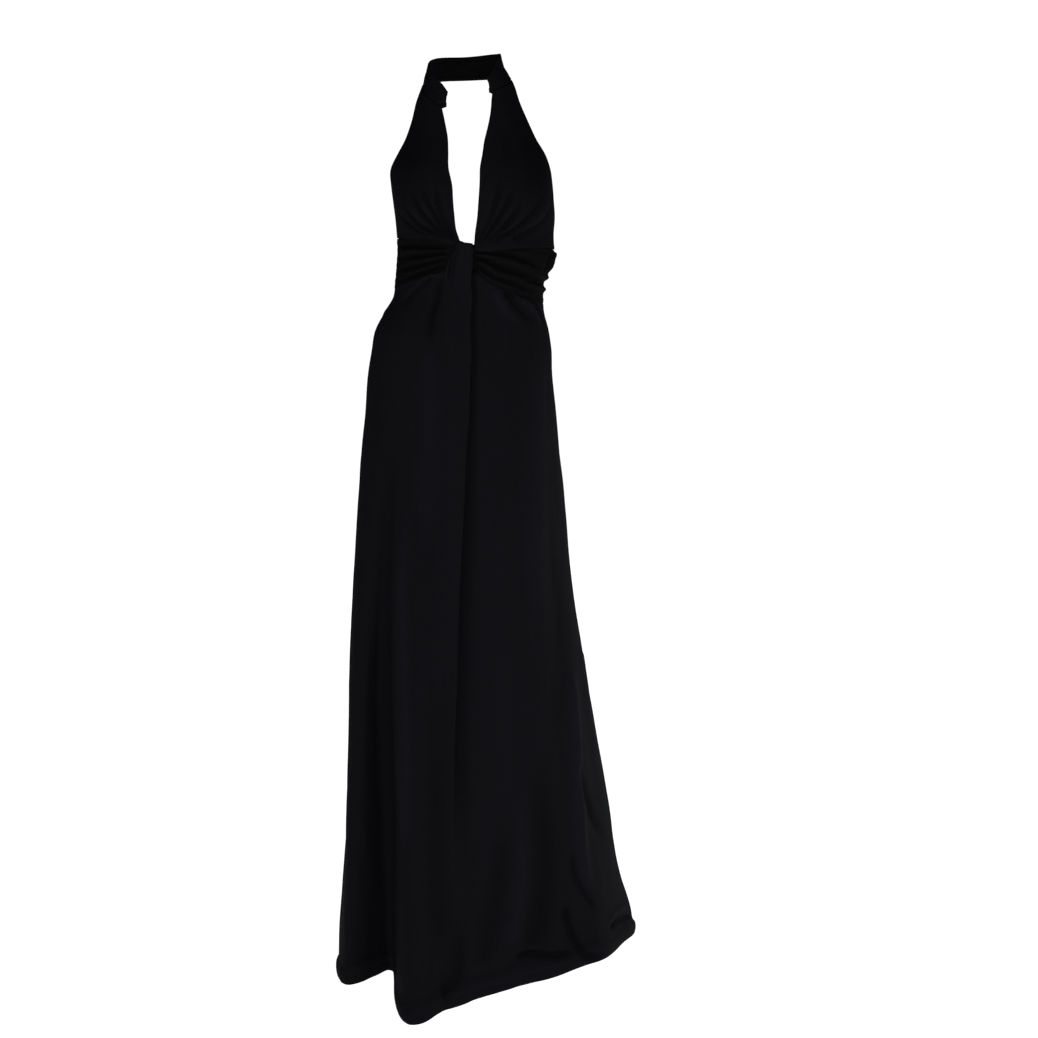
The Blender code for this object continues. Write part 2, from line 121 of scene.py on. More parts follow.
# The halter panels: how their columns crowd toward the V and fan out, in shares down the panel, where
# they are sewn to the midriff, and the fine gathers at their foot
PANEL_FAN = dict(crowding=0.55, crowd_from=0.5, bend=0.45, foot=0.45, foot_over=0.27, band=0.22)
PANEL_ROWS = dict(power=1.15, sewn=0.71, sewn_over=0.03)
PANEL_GATHERS = dict(out=0.0002, count=15, sway=0.03, sway_rate=7, foot=0.62, over=0.3)
PANEL_RIM = dict(inner=0.05, outer=0.10, seam=0.010)

# The knit's sizes, then its noises, each with its scale, detail and roughness, then its shades, each a
# factor of its pattern's value with what is added to it, where the folds' shade is painted shade and painted
# highlight read from the shell's attribute, and last its finish
KNIT = dict(slant=0.55, ridge=0.6, loops=0.2, fuzz=0.35, height=0.00018, strength=0.55)
NAP = (240.0, 4.0, 0.6)
FUZZ = (1600.0, 2.0, 0.5)
STREAKS = (1.0, 3.0, 0.55)
STREAK_SCALE = (26.0, 26.0, 3.2)
SHADES = dict(knit=(0.30, 0.72), nap=(0.30, 0.85), streaks=(0.36, 0.82), folds=(0.45, 1.0))
ROUGHNESS = (0.16, 0.74)
FINISH = {"Specular IOR Level": 0.05, "Sheen Roughness": 0.45, "Sheen Tint": (0.72, 0.80, 1.0, 1.0)}

# The camera: its place, its tilt in degrees up from straight down, and its focal length and the
# picture's width in the photograph's own pixels
CAMERA_PLACE = (0.0862, -3.02, 1.187 - HOLD_HEIGHT)
CAMERA_TILT = 82.0
FOCAL_PIXELS = 1900.0
PHOTO_WIDTH = 1038.0
SENSOR = 36.0

# The white that the camera sees round the dress, the floor's glow on the dress, and the floor's size
WHITE = 1.05
FLOOR_GLOW = 0.27
FLOOR_HALF = 12.0
FLOOR_GAP = 0.001

# The body's outline at each height: its left and right in x, its front and back in y
LEVELS = [
    # height, left, right, front, back
    (0.000, -0.2126, 0.2815, -0.1300, 0.2000),
    (0.076, -0.2101, 0.2749, -0.1300, 0.1920),
    (0.144, -0.2059, 0.2578, -0.1300, 0.1850),
    (0.281, -0.1976, 0.2338, -0.1290, 0.1720),
    (0.415, -0.1926, 0.2085, -0.1270, 0.1600),
    (0.548, -0.1877, 0.1883, -0.1240, 0.1490),
    (0.680, -0.1796, 0.1684, -0.1190, 0.1380),
    (0.809, -0.1701, 0.1567, -0.1140, 0.1280),
    (0.874, -0.1645, 0.1501, -0.1110, 0.1240),
    (0.938, -0.1574, 0.1451, -0.1080, 0.1190),
    (1.001, -0.1519, 0.1386, -0.1030, 0.1130),
    (1.033, -0.1468, 0.1375, -0.1000, 0.1070),
    (1.065, -0.1402, 0.1321, -0.0960, 0.0980),
    (1.090, -0.1273, 0.1257, -0.0920, 0.0910),
    (1.115, -0.1128, 0.1241, -0.0890, 0.0850),
    (1.140, -0.1085, 0.1265, -0.0880, 0.0810),
    (1.165, -0.1060, 0.1366, -0.0880, 0.0790),
    (1.190, -0.1042, 0.1413, -0.0900, 0.0790),
    (1.215, -0.1050, 0.1405, -0.0930, 0.0810),
    (1.240, -0.1065, 0.1410, -0.0960, 0.0830),
    (1.265, -0.1095, 0.1390, -0.0980, 0.0840),
    (1.290, -0.1125, 0.1375, -0.0970, 0.0820),
    (1.314, -0.1135, 0.1350, -0.0930, 0.0800),
    (1.337, -0.1045, 0.1290, -0.0860, 0.0770),
    (1.361, -0.0925, 0.1155, -0.0780, 0.0740),
    (1.389, -0.0820, 0.1015, -0.0690, 0.0720),
    (1.417, -0.0745, 0.0885, -0.0610, 0.0700),
    (1.446, -0.0635, 0.0780, -0.0550, 0.0680),
    (1.472, -0.0560, 0.0630, -0.0500, 0.0640),
    (1.500, -0.0520, 0.0560, -0.0470, 0.0600),
]

# The hem seen from above, once all round, from the right side seam
HEM = [
    # angle, x, y, height
    (-90.0, -0.2126, 0.0300, 0.002),
    (-80.0, -0.2110, -0.0220, 0.007),
    (-72.0, -0.2035, -0.0670, 0.013),
    (-65.0, -0.1900, -0.0880, 0.016),
    (-58.0, -0.1690, -0.0830, 0.019),
    (-52.0, -0.1460, -0.0640, 0.023),
    (-47.0, -0.1260, -0.0460, 0.026),
    (-43.0, -0.1135, -0.0550, 0.022),
    (-40.0, -0.1100, -0.0950, 0.014),
    (-37.0, -0.1080, -0.1400, 0.007),
    (-33.0, -0.1010, -0.1830, 0.002),
    (-28.0, -0.0860, -0.2090, 0.000),
    (-22.0, -0.0660, -0.2080, 0.001),
    (-14.0, -0.0460, -0.1920, 0.005),
    (-6.0, -0.0300, -0.1760, 0.008),
    (3.0, -0.0110, -0.1610, 0.010),
    (12.0, 0.0120, -0.1450, 0.012),
    (24.0, 0.0560, -0.1220, 0.018),
    (37.0, 0.1040, -0.1010, 0.023),
    (50.0, 0.1530, -0.0840, 0.033),
    (61.0, 0.1930, -0.0640, 0.039),
    (69.0, 0.2190, -0.0480, 0.042),
    (77.0, 0.2440, -0.0060, 0.041),
    (84.0, 0.2670, 0.0450, 0.041),
    (90.0, 0.2815, 0.0900, 0.036),
    (104.0, 0.2700, 0.1480, 0.022),
    (118.0, 0.2260, 0.1870, 0.010),
    (136.0, 0.1600, 0.1760, 0.004),
    (156.0, 0.0980, 0.2000, 0.000),
    (180.0, 0.0300, 0.1760, 0.000),
    (204.0, -0.0480, 0.1930, 0.000),
    (226.0, -0.1120, 0.1600, 0.000),
    (246.0, -0.1700, 0.1440, 0.000),
    (260.0, -0.2030, 0.0900, 0.000),
    (270.0, -0.2126, 0.0300, 0.002),
]

# The seam between the midriff and the bodice, and the one between the midriff and the skirt
MIDRIFF_TOP = [
    # angle, height
    (-180.0, 1.1920), (-126.0, 1.2060), (-90.0, 1.2075), (-50.0, 1.2070), (-30.0, 1.2065),
    (-20.0, 1.2000), (-10.0, 1.1930), (0.0, 1.1885), (8.0, 1.1875), (16.0, 1.1885), (26.0, 1.1905),
    (40.0, 1.1925), (60.0, 1.1925), (90.0, 1.1900), (126.0, 1.1930), (180.0, 1.1920),
]
MIDRIFF_FOOT = [
    # angle, height
    (-180.0, 1.1180), (-126.0, 1.1260), (-90.0, 1.1295), (-60.0, 1.1380), (-38.0, 1.1490),
    (-20.0, 1.1580), (0.0, 1.1610), (4.0, 1.1570), (8.0, 1.1500), (14.5, 1.1415), (26.0, 1.1310),
    (50.0, 1.1180), (90.0, 1.1060), (126.0, 1.1100), (180.0, 1.1180),
]

# The front drape that stands up out of the skirt's middle, over the midriff
TAB_TOP = [
    # angle, height
    (-19.0, 1.1580), (-16.8, 1.1640), (-15.6, 1.1740), (-13.6, 1.1850), (-11.0, 1.1950), (-9.6, 1.2015),
    (-8.0, 1.2040), (-5.0, 1.2020), (0.0, 1.1970),
]

# The pleat's crease down the skirt's front: where it lies, and how much of the pleat is left
CREASE = [
    # height, angle, fullness
    (0.000, -3.0, 0.00), (0.230, -2.4, 0.00), (0.330, -1.9, 0.30), (0.450, -0.9, 0.66),
    (0.600, 0.4, 0.88), (0.750, 2.0, 1.00), (0.900, 3.6, 1.00), (0.985, 5.2, 1.00), (1.050, 5.4, 1.00),
    (1.110, 2.8, 1.00), (1.160, -1.8, 1.00), (1.210, -3.4, 1.00),
]

# The deep fold down the skirt's front on the dress's right: where its middle lies, and how deep it is
DEEP_FOLD = [
    # height, angle, depth
    (0.000, -48.0, 0.0000), (0.120, -48.4, 0.0010), (0.300, -48.2, 0.0090), (0.420, -48.2, 0.0120),
    (0.640, -47.0, 0.0120), (0.780, -45.6, 0.0080), (0.930, -45.0, 0.0000), (1.200, -45.0, 0.0000),
]

# A cross cut of the pleat, folded and then drawn out to a plain step: how far along the cloth, in
# overlaps, and how far off the body, in lifts
PLEAT_CUT = [
    # folded along, folded lift, drawn along, drawn lift
    (-1.40, 1.00, -1.50, 1.00), (-0.40, 1.00, -0.75, 1.00), (0.20, 1.00, -0.25, 1.00),
    (0.50, 0.94, -0.20, 0.92), (0.62, 0.76, -0.15, 0.80), (0.50, 0.58, -0.10, 0.69),
    (0.20, 0.51, -0.05, 0.59), (-0.60, 0.50, 0.00, 0.50), (-1.40, 0.49, 0.05, 0.41),
    (-1.70, 0.42, 0.10, 0.31), (-1.82, 0.24, 0.15, 0.20), (-1.70, 0.06, 0.20, 0.08),
    (-1.40, 0.00, 0.25, 0.00), (-0.40, 0.00, 0.75, 0.00), (0.60, 0.00, 1.25, 0.00),
    (1.60, 0.00, 1.90, 0.00),
]

# The bodice panels' two edges, from the neck down to the foot of the V
RIGHT_PANEL = [
    # edge at the V: angle, height; edge at the arm, the open back and the midriff: angle, height
    (-29.0, 1.4095, -84.0, 1.4440), (-24.5, 1.3880, -80.0, 1.4150), (-19.5, 1.3620, -77.0, 1.3780),
    (-16.6, 1.3370, -76.0, 1.3450), (-14.0, 1.3100, -83.0, 1.3140), (-12.4, 1.2870, -98.0, 1.2880),
    (-12.6, 1.2660, -113.0, 1.2620), (-13.0, 1.2480, -122.0, 1.2340), (-13.2, 1.2320, -126.0, 1.2060),
    (-12.8, 1.2200, -104.0, 1.2060), (-11.4, 1.2090, -76.0, 1.2060), (-9.0, 1.1900, -46.0, 1.2060),
]
LEFT_PANEL = [
    (31.0, 1.4320, 84.0, 1.4520), (25.0, 1.4060, 80.0, 1.4180), (18.0, 1.3800, 77.0, 1.3820),
    (11.0, 1.3500, 76.0, 1.3480), (8.0, 1.3200, 83.0, 1.3160), (6.6, 1.2930, 98.0, 1.2890),
    (5.0, 1.2690, 113.0, 1.2600), (3.4, 1.2490, 122.0, 1.2280), (2.0, 1.2310, 126.0, 1.1900),
    (1.0, 1.2180, 104.0, 1.1900), (0.2, 1.2050, 76.0, 1.1900), (-1.0, 1.1880, 46.0, 1.1900),
]

# The neckband's lower and upper edges, once round the back of the neck between its front ends
NECKBAND = [
    # angle, lower height, upper height
    (-23.5, 1.4125, 1.4300), (-29.0, 1.4103, 1.4370), (-45.0, 1.4200, 1.4520), (-62.0, 1.4305, 1.4640),
    (-84.0, 1.4448, 1.4760), (-120.0, 1.4560, 1.4870), (-180.0, 1.4620, 1.4920), (-240.0, 1.4610, 1.4940),
    (-276.0, 1.4528, 1.4900), (-300.0, 1.4440, 1.4790), (-318.0, 1.4370, 1.4640),
    (-329.0, 1.4328, 1.4550), (-333.0, 1.4345, 1.4520),
]

# The folds that lie in the cloth. Each is a line of places with a depth, out where it is positive, and a
# width on each of its sides, as seen from outside: the first is on the left of the line as it runs
CUP_FOLDS = [
    # depth, width, other width, [(angle, height), ...]
    (-0.0038, 0.0026, 0.0050, [(3.0, 1.199), (8.0, 1.220), (13.0, 1.244), (17.8, 1.278), (20.5, 1.305)]),
    (-0.0041, 0.0026, 0.0050, [(6.0, 1.203), (12.5, 1.222), (19.5, 1.246), (24.8, 1.269), (28.0, 1.292)]),
    (-0.0046, 0.0030, 0.0056, [(9.0, 1.205), (18.5, 1.218), (24.5, 1.234), (29.2, 1.251), (35.0, 1.278)]),
    (-0.0049, 0.0034, 0.0064, [(13.0, 1.206), (28.8, 1.220), (36.5, 1.236), (43.0, 1.256), (48.5, 1.284)]),
    (-0.0038, 0.0040, 0.0070, [(27.8, 1.206), (37.8, 1.216), (47.5, 1.228), (58.0, 1.246), (66.0, 1.268)]),
    (-0.0013, 0.0022, 0.0026, [(24.5, 1.216), (29.8, 1.211), (30.5, 1.202)]),
    (0.0024, 0.0030, 0.0030, [(4.5, 1.202), (10.0, 1.222), (16.0, 1.250), (21.0, 1.278)]),
    (0.0024, 0.0030, 0.0030, [(7.5, 1.204), (15.5, 1.221), (22.0, 1.244), (27.0, 1.268)]),
    (0.0027, 0.0034, 0.0034, [(11.0, 1.206), (23.0, 1.219), (30.0, 1.236), (36.0, 1.258)]),
    (0.0027, 0.0040, 0.0040, [(18.0, 1.206), (33.0, 1.217), (42.0, 1.232), (50.0, 1.252)]),
    (-0.0038, 0.0026, 0.0050,
     [(-14.5, 1.203), (-18.5, 1.218), (-22.0, 1.240), (-22.6, 1.270), (-22.0, 1.292)]),
    (-0.0041, 0.0026, 0.0050,
     [(-16.5, 1.205), (-22.5, 1.222), (-26.4, 1.244), (-29.8, 1.266), (-33.0, 1.290)]),
    (-0.0046, 0.0030, 0.0056,
     [(-18.5, 1.207), (-27.5, 1.223), (-34.0, 1.241), (-37.5, 1.263), (-41.5, 1.288)]),
    (-0.0046, 0.0034, 0.0060,
     [(-20.0, 1.208), (-34.0, 1.219), (-42.2, 1.231), (-47.0, 1.250), (-52.0, 1.276)]),
    (-0.0041, 0.0036, 0.0070,
     [(-21.0, 1.206), (-34.0, 1.213), (-45.5, 1.221), (-54.0, 1.234), (-60.0, 1.254)]),
    (0.0024, 0.0028, 0.0028, [(-15.6, 1.204), (-20.6, 1.221), (-24.4, 1.246), (-26.5, 1.272)]),
    (0.0024, 0.0030, 0.0030, [(-17.6, 1.206), (-25.2, 1.223), (-30.4, 1.244), (-34.0, 1.266)]),
    (0.0027, 0.0034, 0.0034, [(-19.4, 1.208), (-31.0, 1.221), (-38.6, 1.238), (-43.4, 1.258)]),
    (0.0024, 0.0034, 0.0034, [(-20.6, 1.207), (-34.5, 1.216), (-44.8, 1.226), (-51.6, 1.244)]),
]
MIDRIFF_FOLDS = [
    # depth, width, other width, [(angle, height), ...]
    (0.0030, 0.0046, 0.0034, [(-2.0, 1.194), (11.0, 1.193), (24.0, 1.190), (40.0, 1.184), (58.0, 1.177)]),
    (-0.0041, 0.0036, 0.0028,
     [(-2.0, 1.187), (11.0, 1.186), (24.0, 1.182), (37.0, 1.175), (52.0, 1.166), (66.0, 1.160)]),
    (0.0024, 0.0040, 0.0040, [(-1.0, 1.183), (11.0, 1.180), (24.0, 1.173), (40.0, 1.166), (58.0, 1.156)]),
    (-0.0041, 0.0036, 0.0030,
     [(-1.0, 1.178), (9.0, 1.174), (20.5, 1.163), (34.0, 1.156), (52.0, 1.148), (74.0, 1.142)]),
    (0.0027, 0.0040, 0.0036, [(0.0, 1.173), (8.0, 1.167), (18.0, 1.156), (34.0, 1.148), (54.0, 1.139)]),
    (-0.0032, 0.0032, 0.0026,
     [(1.0, 1.167), (7.0, 1.161), (16.0, 1.150), (30.0, 1.141), (50.0, 1.131), (70.0, 1.126)]),
    (0.0022, 0.0036, 0.0030, [(4.0, 1.160), (13.0, 1.148), (28.0, 1.137), (48.0, 1.125)]),
    (0.0062, 0.0040, 0.0060, [(82.0, 1.188), (80.0, 1.176), (79.0, 1.164), (82.0, 1.152)]),
    (-0.0041, 0.0036, 0.0030, [(72.0, 1.186), (70.5, 1.174), (70.0, 1.162), (73.0, 1.152)]),
    (0.0035, 0.0040, 0.0040, [(64.0, 1.184), (62.5, 1.172), (62.0, 1.160)]),
    (0.0046, 0.0036, 0.0036, [(96.0, 1.146), (80.0, 1.147), (64.0, 1.150), (50.0, 1.156)]),
    (-0.0041, 0.0030, 0.0030, [(96.0, 1.138), (78.0, 1.139), (60.0, 1.142), (44.0, 1.147)]),
    (0.0041, 0.0034, 0.0034, [(97.0, 1.128), (76.0, 1.130), (58.0, 1.135), (42.0, 1.143)]),
    (-0.0035, 0.0034, 0.0030,
     [(-18.0, 1.194), (-28.0, 1.194), (-43.0, 1.195), (-66.0, 1.196), (-88.0, 1.196)]),
    (0.0024, 0.0036, 0.0036,
     [(-18.5, 1.190), (-28.0, 1.189), (-42.0, 1.188), (-62.0, 1.188), (-82.0, 1.187)]),
    (-0.0035, 0.0034, 0.0028,
     [(-19.0, 1.186), (-28.0, 1.184), (-41.0, 1.181), (-62.0, 1.179), (-84.0, 1.177)]),
    (0.0024, 0.0036, 0.0036, [(-19.5, 1.181), (-30.0, 1.177), (-44.0, 1.173), (-66.0, 1.169)]),
    (-0.0035, 0.0034, 0.0028,
     [(-19.8, 1.177), (-31.5, 1.171), (-46.0, 1.165), (-70.0, 1.159), (-88.0, 1.158)]),
    (0.0022, 0.0036, 0.0036, [(-20.0, 1.172), (-31.0, 1.166), (-46.0, 1.158), (-68.0, 1.151)]),
    (-0.0032, 0.0030, 0.0026,
     [(-20.5, 1.167), (-31.0, 1.160), (-44.0, 1.152), (-64.0, 1.143), (-84.0, 1.140)]),
]
SKIRT_FOLDS = [
    # depth, width, other width, [(angle, height), ...]
    (0.0018, 0.0016, 0.0018,
     [(-14.6, 1.197), (-17.0, 1.182), (-17.8, 1.165), (-17.8, 1.148), (-17.0, 1.130)]),
    (-0.0023, 0.0012, 0.0016,
     [(-12.6, 1.199), (-15.0, 1.184), (-15.8, 1.167), (-15.4, 1.150), (-14.6, 1.134)]),
    (-0.0019, 0.0012, 0.0018,
     [(-10.2, 1.200), (-12.6, 1.186), (-13.2, 1.170), (-12.4, 1.150), (-11.8, 1.130)]),
    (-0.0042, 0.0076, 0.0056,
     [(-22.6, 1.150), (-23.4, 1.125), (-22.8, 1.098), (-20.2, 1.068), (-18.5, 1.036)]),
    (0.0034, 0.0018, 0.0030,
     [(-27.0, 1.155), (-36.5, 1.146), (-43.8, 1.135), (-52.2, 1.124), (-64.0, 1.106)]),
    (-0.0022, 0.0060, 0.0040, [(-29.0, 1.150), (-38.0, 1.138), (-48.0, 1.122), (-59.0, 1.104)]),
    (-0.0039, 0.0070, 0.0050, [(28.0, 1.127), (33.0, 1.121), (40.0, 1.107), (48.0, 1.092), (60.0, 1.075)]),
    (0.0028, 0.0060, 0.0060, [(20.0, 1.132), (27.0, 1.112), (36.0, 1.092), (48.0, 1.070)]),
    (-0.0044, 0.0040, 0.0040, [(42.0, 1.123), (52.0, 1.118), (63.0, 1.107), (73.0, 1.090), (80.0, 1.074)]),
    (0.0031, 0.0050, 0.0050, [(44.0, 1.115), (54.0, 1.107), (64.0, 1.090), (70.0, 1.070)]),
    (0.0030, 0.0200, 0.0240, [(58.0, 1.020), (55.0, 0.920), (50.2, 0.800), (48.0, 0.680), (47.0, 0.560)]),
    (0.0020, 0.0150, 0.0150, [(-19.0, 1.040), (-18.0, 0.940), (-17.6, 0.820), (-17.5, 0.700)]),
    (0.0034, 0.0140, 0.0080,
     [(-29.8, 0.270), (-29.0, 0.420), (-29.6, 0.560), (-31.2, 0.700), (-30.5, 0.820)]),
    (-0.0024, 0.0200, 0.0200, [(-9.0, 0.110), (-12.0, 0.220), (-11.5, 0.360), (-10.0, 0.560)]),
    (-0.0030, 0.0150, 0.0110, [(15.5, 0.066), (18.2, 0.112), (21.2, 0.181), (23.2, 0.232), (24.0, 0.330)]),
    (-0.0040, 0.0190, 0.0150, [(36.5, 0.080), (41.0, 0.130), (44.4, 0.200), (44.0, 0.297), (43.0, 0.430)]),
    (0.0024, 0.0140, 0.0140, [(28.0, 0.090), (31.0, 0.150), (33.5, 0.240), (33.0, 0.360)]),
    (-0.0074, 0.0044, 0.0070, [(29.0, 0.072), (36.0, 0.074), (43.0, 0.069), (51.0, 0.066), (57.0, 0.066)]),
    (-0.0066, 0.0060, 0.0080,
     [(53.0, 0.150), (54.0, 0.112), (56.2, 0.083), (60.5, 0.060), (66.0, 0.052), (72.0, 0.050)]),
    (-0.0042, 0.0040, 0.0060, [(58.5, 0.230), (59.8, 0.190), (64.2, 0.162), (67.2, 0.141), (70.4, 0.116)]),
    (-0.0048, 0.0050, 0.0070,
     [(67.0, 0.380), (69.0, 0.334), (72.2, 0.295), (74.5, 0.268), (80.0, 0.240), (87.0, 0.226)]),
    (0.0080, 0.0090, 0.0120,
     [(70.0, 0.520), (68.6, 0.440), (66.8, 0.370), (64.6, 0.260), (66.0, 0.190), (68.0, 0.140)]),
    (0.0064, 0.0100, 0.0100, [(84.0, 0.560), (84.0, 0.470), (84.6, 0.394), (86.0, 0.330)]),
    (-0.0090, 0.0030, 0.0050, [(75.0, 0.084), (79.5, 0.088), (83.0, 0.083), (89.5, 0.072), (96.0, 0.062)]),
    (0.0042, 0.0044, 0.0044, [(76.0, 0.099), (80.0, 0.104), (84.0, 0.099), (90.0, 0.088)]),
    (-0.0048, 0.0200, 0.0100, [(-9.0, 0.034), (-4.0, 0.041), (2.0, 0.058), (3.2, 0.103), (1.2, 0.181)]),
    (0.0030, 0.0200, 0.0200, [(112.0, 0.900), (112.0, 0.600), (112.0, 0.300), (110.0, 0.080)]),
    (-0.0040, 0.0220, 0.0220, [(136.0, 0.960), (136.0, 0.600), (137.0, 0.300), (137.0, 0.060)]),
    (0.0040, 0.0200, 0.0200, [(156.0, 0.980), (156.0, 0.600), (157.0, 0.300), (156.0, 0.060)]),
    (-0.0040, 0.0240, 0.0240, [(182.0, 1.020), (181.0, 0.600), (180.0, 0.300), (180.0, 0.060)]),
    (0.0040, 0.0220, 0.0220, [(204.0, 0.980), (203.0, 0.600), (204.0, 0.300), (204.0, 0.060)]),
    (-0.0040, 0.0220, 0.0220, [(226.0, 0.900), (226.0, 0.600), (226.0, 0.300), (227.0, 0.060)]),
    (0.0030, 0.0200, 0.0200, [(246.0, 0.860), (247.0, 0.500), (246.0, 0.200)]),
]


def through(at, rows, column):
    """A smooth curve through a column of a table: a cubic between each two rows, and its slope at a
    row is the mean of the slopes on both sides, weighted by the opposite interval."""
    table = np.asarray(rows, float)
    places, values = table[:, 0], table[:, column]
    gaps = np.diff(places)
    slopes = np.diff(values) / gaps
    inner = (slopes[:-1] * gaps[1:] + slopes[1:] * gaps[:-1]) / (gaps[1:] + gaps[:-1])
    tangent = np.concatenate(([slopes[0]], inner, [slopes[-1]]))
    i = np.clip(np.searchsorted(places, at) - 1, 0, len(gaps) - 1)
    t = np.clip((at - places[i]) / gaps[i], 0.0, 1.0)
    return (values[i] * (1 + 2 * t) * (1 - t) ** 2 + gaps[i] * tangent[i] * t * (1 - t) ** 2
            + values[i + 1] * t * t * (3 - 2 * t) - gaps[i] * tangent[i + 1] * t * t * (1 - t))


def straight(at, rows, column):
    """The table's column read along straight lines between its rows."""
    table = np.asarray(rows, float)
    return np.interp(at, table[:, 0], table[:, column])


def step(value):
    """0 to 1 with flat ends, as the value goes from 0 to 1: 3 t squared less 2 t cubed."""
    t = np.clip(value, 0.0, 1.0)
    return t * t * (3 - 2 * t)


def bell(distance, width):
    """1 at no distance, falling off on both sides: e to the power of minus the square of their quotient."""
    return np.exp(-(distance / width) ** 2)


def around(angle):
    """The angle brought into -180 to 180."""
    return (np.asarray(angle, float) + 180.0) % 360.0 - 180.0


def section(height):
    """The middle and the half size of the body's outline at a height, in x and in y."""
    left, right, front, back = (through(height, LEVELS, k) for k in (1, 2, 3, 4))
    return (left + right) / 2, (right - left) / 2, (front + back) / 2, (back - front) / 2


def hem_place(angle):
    """Where the hem runs at an angle, as x, y and height, from the hem's table taken as a closed ring."""
    before = [(a - 360.0, x, y, h) for a, x, y, h in HEM[-5:-1]]
    after = [(a + 360.0, x, y, h) for a, x, y, h in HEM[1:5]]
    ring = before + HEM + after
    turned = (np.asarray(angle, float) + 90.0) % 360.0 - 90.0
    return through(turned, ring, 1), through(turned, ring, 2), through(turned, ring, 3)


def outline(angle, height):
    """A point of the form: an ellipse at the top, x = middle + half sin, y = middle - half cos, that
    turns into the folded outline of the hem below the hip by a power of the distance below it."""
    mid_x, half_x, mid_y, half_y = section(height)
    base_x, base_w, base_y, base_d = section(np.zeros_like(height))
    hem_x, hem_y, _ = hem_place(angle)
    grown = np.clip((GROWTH_START - height) / GROWTH_START, 0.0, 1.0) ** GROWTH_POWER
    turn = np.radians(angle)
    across = (1 - grown) * np.sin(turn) + grown * (hem_x - base_x) / base_w
    ahead = (1 - grown) * -np.cos(turn) + grown * (hem_y - base_y) / base_d
    return mid_x + half_x * across, mid_y + half_y * ahead


def bust(angle, height):
    """How far the bust stands out: a bell over the angle on each side of the front times a cosine
    hump over the height, longer above than below."""
    side = bell(np.abs(around(angle)) - BUST["angle"], BUST["spread"])
    reach = np.where(height > BUST["height"], BUST["above"], BUST["below"])
    away = np.clip(np.abs(height - BUST["height"]) / reach, 0.0, 1.0)
    return BUST["out"] * side * 0.5 * (1 + np.cos(np.pi * away))


def form(angle, height, lift=0.0):
    """A point of the cloth at an angle and a height: the outline, moved out level and square to it by
    the bust and by the given lift. Heights come out measured from the hold."""
    angle, height = np.broadcast_arrays(np.asarray(angle, float), np.asarray(height, float))
    x, y = outline(angle, height)
    ahead, behind = outline(angle + NUDGE, height), outline(angle - NUDGE, height)
    along_x, along_y = ahead[0] - behind[0], ahead[1] - behind[1]
    length = np.hypot(along_x, along_y)
    out = bust(angle, height) + lift
    return np.stack((x + out * along_y / length, y - out * along_x / length, height - HOLD_HEIGHT), axis=-1)


def per_degree(angle, height):
    """Metres along the form for one degree round it."""
    ahead, behind = outline(angle + 0.5, height), outline(angle - 0.5, height)
    return np.hypot(ahead[0] - behind[0], ahead[1] - behind[1])


def girth(height):
    """The mean radius of the form at a height, which turns an angle into a length round the body."""
    _, half_x, _, half_y = section(height)
    return (half_x + half_y) / 2


def folds(angle, height, rows):
    """The lift of a table of folds: for each, its depth times a bell of the distance to its line over
    the width on that side, fading toward the line's two ends."""
    level_x, level_y = np.radians(angle) * girth(height), height
    lift = np.zeros(np.shape(level_x))
    for depth, width, other_width, line in rows:
        line = np.asarray(line, float)
        keyed = np.column_stack((np.arange(len(line)), line))
        fine = np.linspace(0, len(line) - 1, 6 * (len(line) - 1) + 1)
        a, h = through(fine, keyed, 1), through(fine, keyed, 2)
        px, py = np.radians(a) * girth(h), h
        reach = 3 * max(width, other_width)
        near = ((level_x > px.min() - reach) & (level_x < px.max() + reach)
                & (level_y > py.min() - reach) & (level_y < py.max() + reach))
        if not near.any():
            continue
        x, y = level_x[near], level_y[near]
        nearest = np.full(x.shape, np.inf)
        side = np.zeros(x.shape)
        place = np.zeros(x.shape)
        for k in range(len(px) - 1):
            dx, dy = px[k + 1] - px[k], py[k + 1] - py[k]
            t = np.clip(((x - px[k]) * dx + (y - py[k]) * dy) / (dx * dx + dy * dy), 0.0, 1.0)
            off_x, off_y = x - px[k] - t * dx, y - py[k] - t * dy
            away = off_x * off_x + off_y * off_y
            closer = away < nearest
            nearest = np.where(closer, away, nearest)
            side = np.where(closer, dx * off_y - dy * off_x, side)
            place = np.where(closer, (k + t) / (len(px) - 1), place)
        wide = np.where(side > 0, width, other_width)
        fade = step(place / FOLD_FADE["start"] + FOLD_FADE["left"]) * step((1 - place) / FOLD_FADE["end"])
        lift[near] += depth * np.exp(-nearest / wide ** 2) * fade
    return lift


def unevenness(angle, height, seed, across, along, count=10):
    """A faint unevenness of the cloth: a sum of seeded waves, each of about the given lengths round the
    body and up it, scaled to about 1."""
    draw = np.random.default_rng(seed)
    x = np.radians(angle) * girth(height)
    total = np.zeros(np.shape(x))
    for _ in range(count):
        round_it = 2 * np.pi / (across * draw.uniform(*WAVE_SPREAD)) * draw.choice([-1, 1])
        up_it = 2 * np.pi / (along * draw.uniform(*WAVE_SPREAD)) * draw.choice([-1, 1])
        total += np.sin(round_it * x + up_it * height + draw.uniform(0, 2 * np.pi))
    return total / math.sqrt(count)


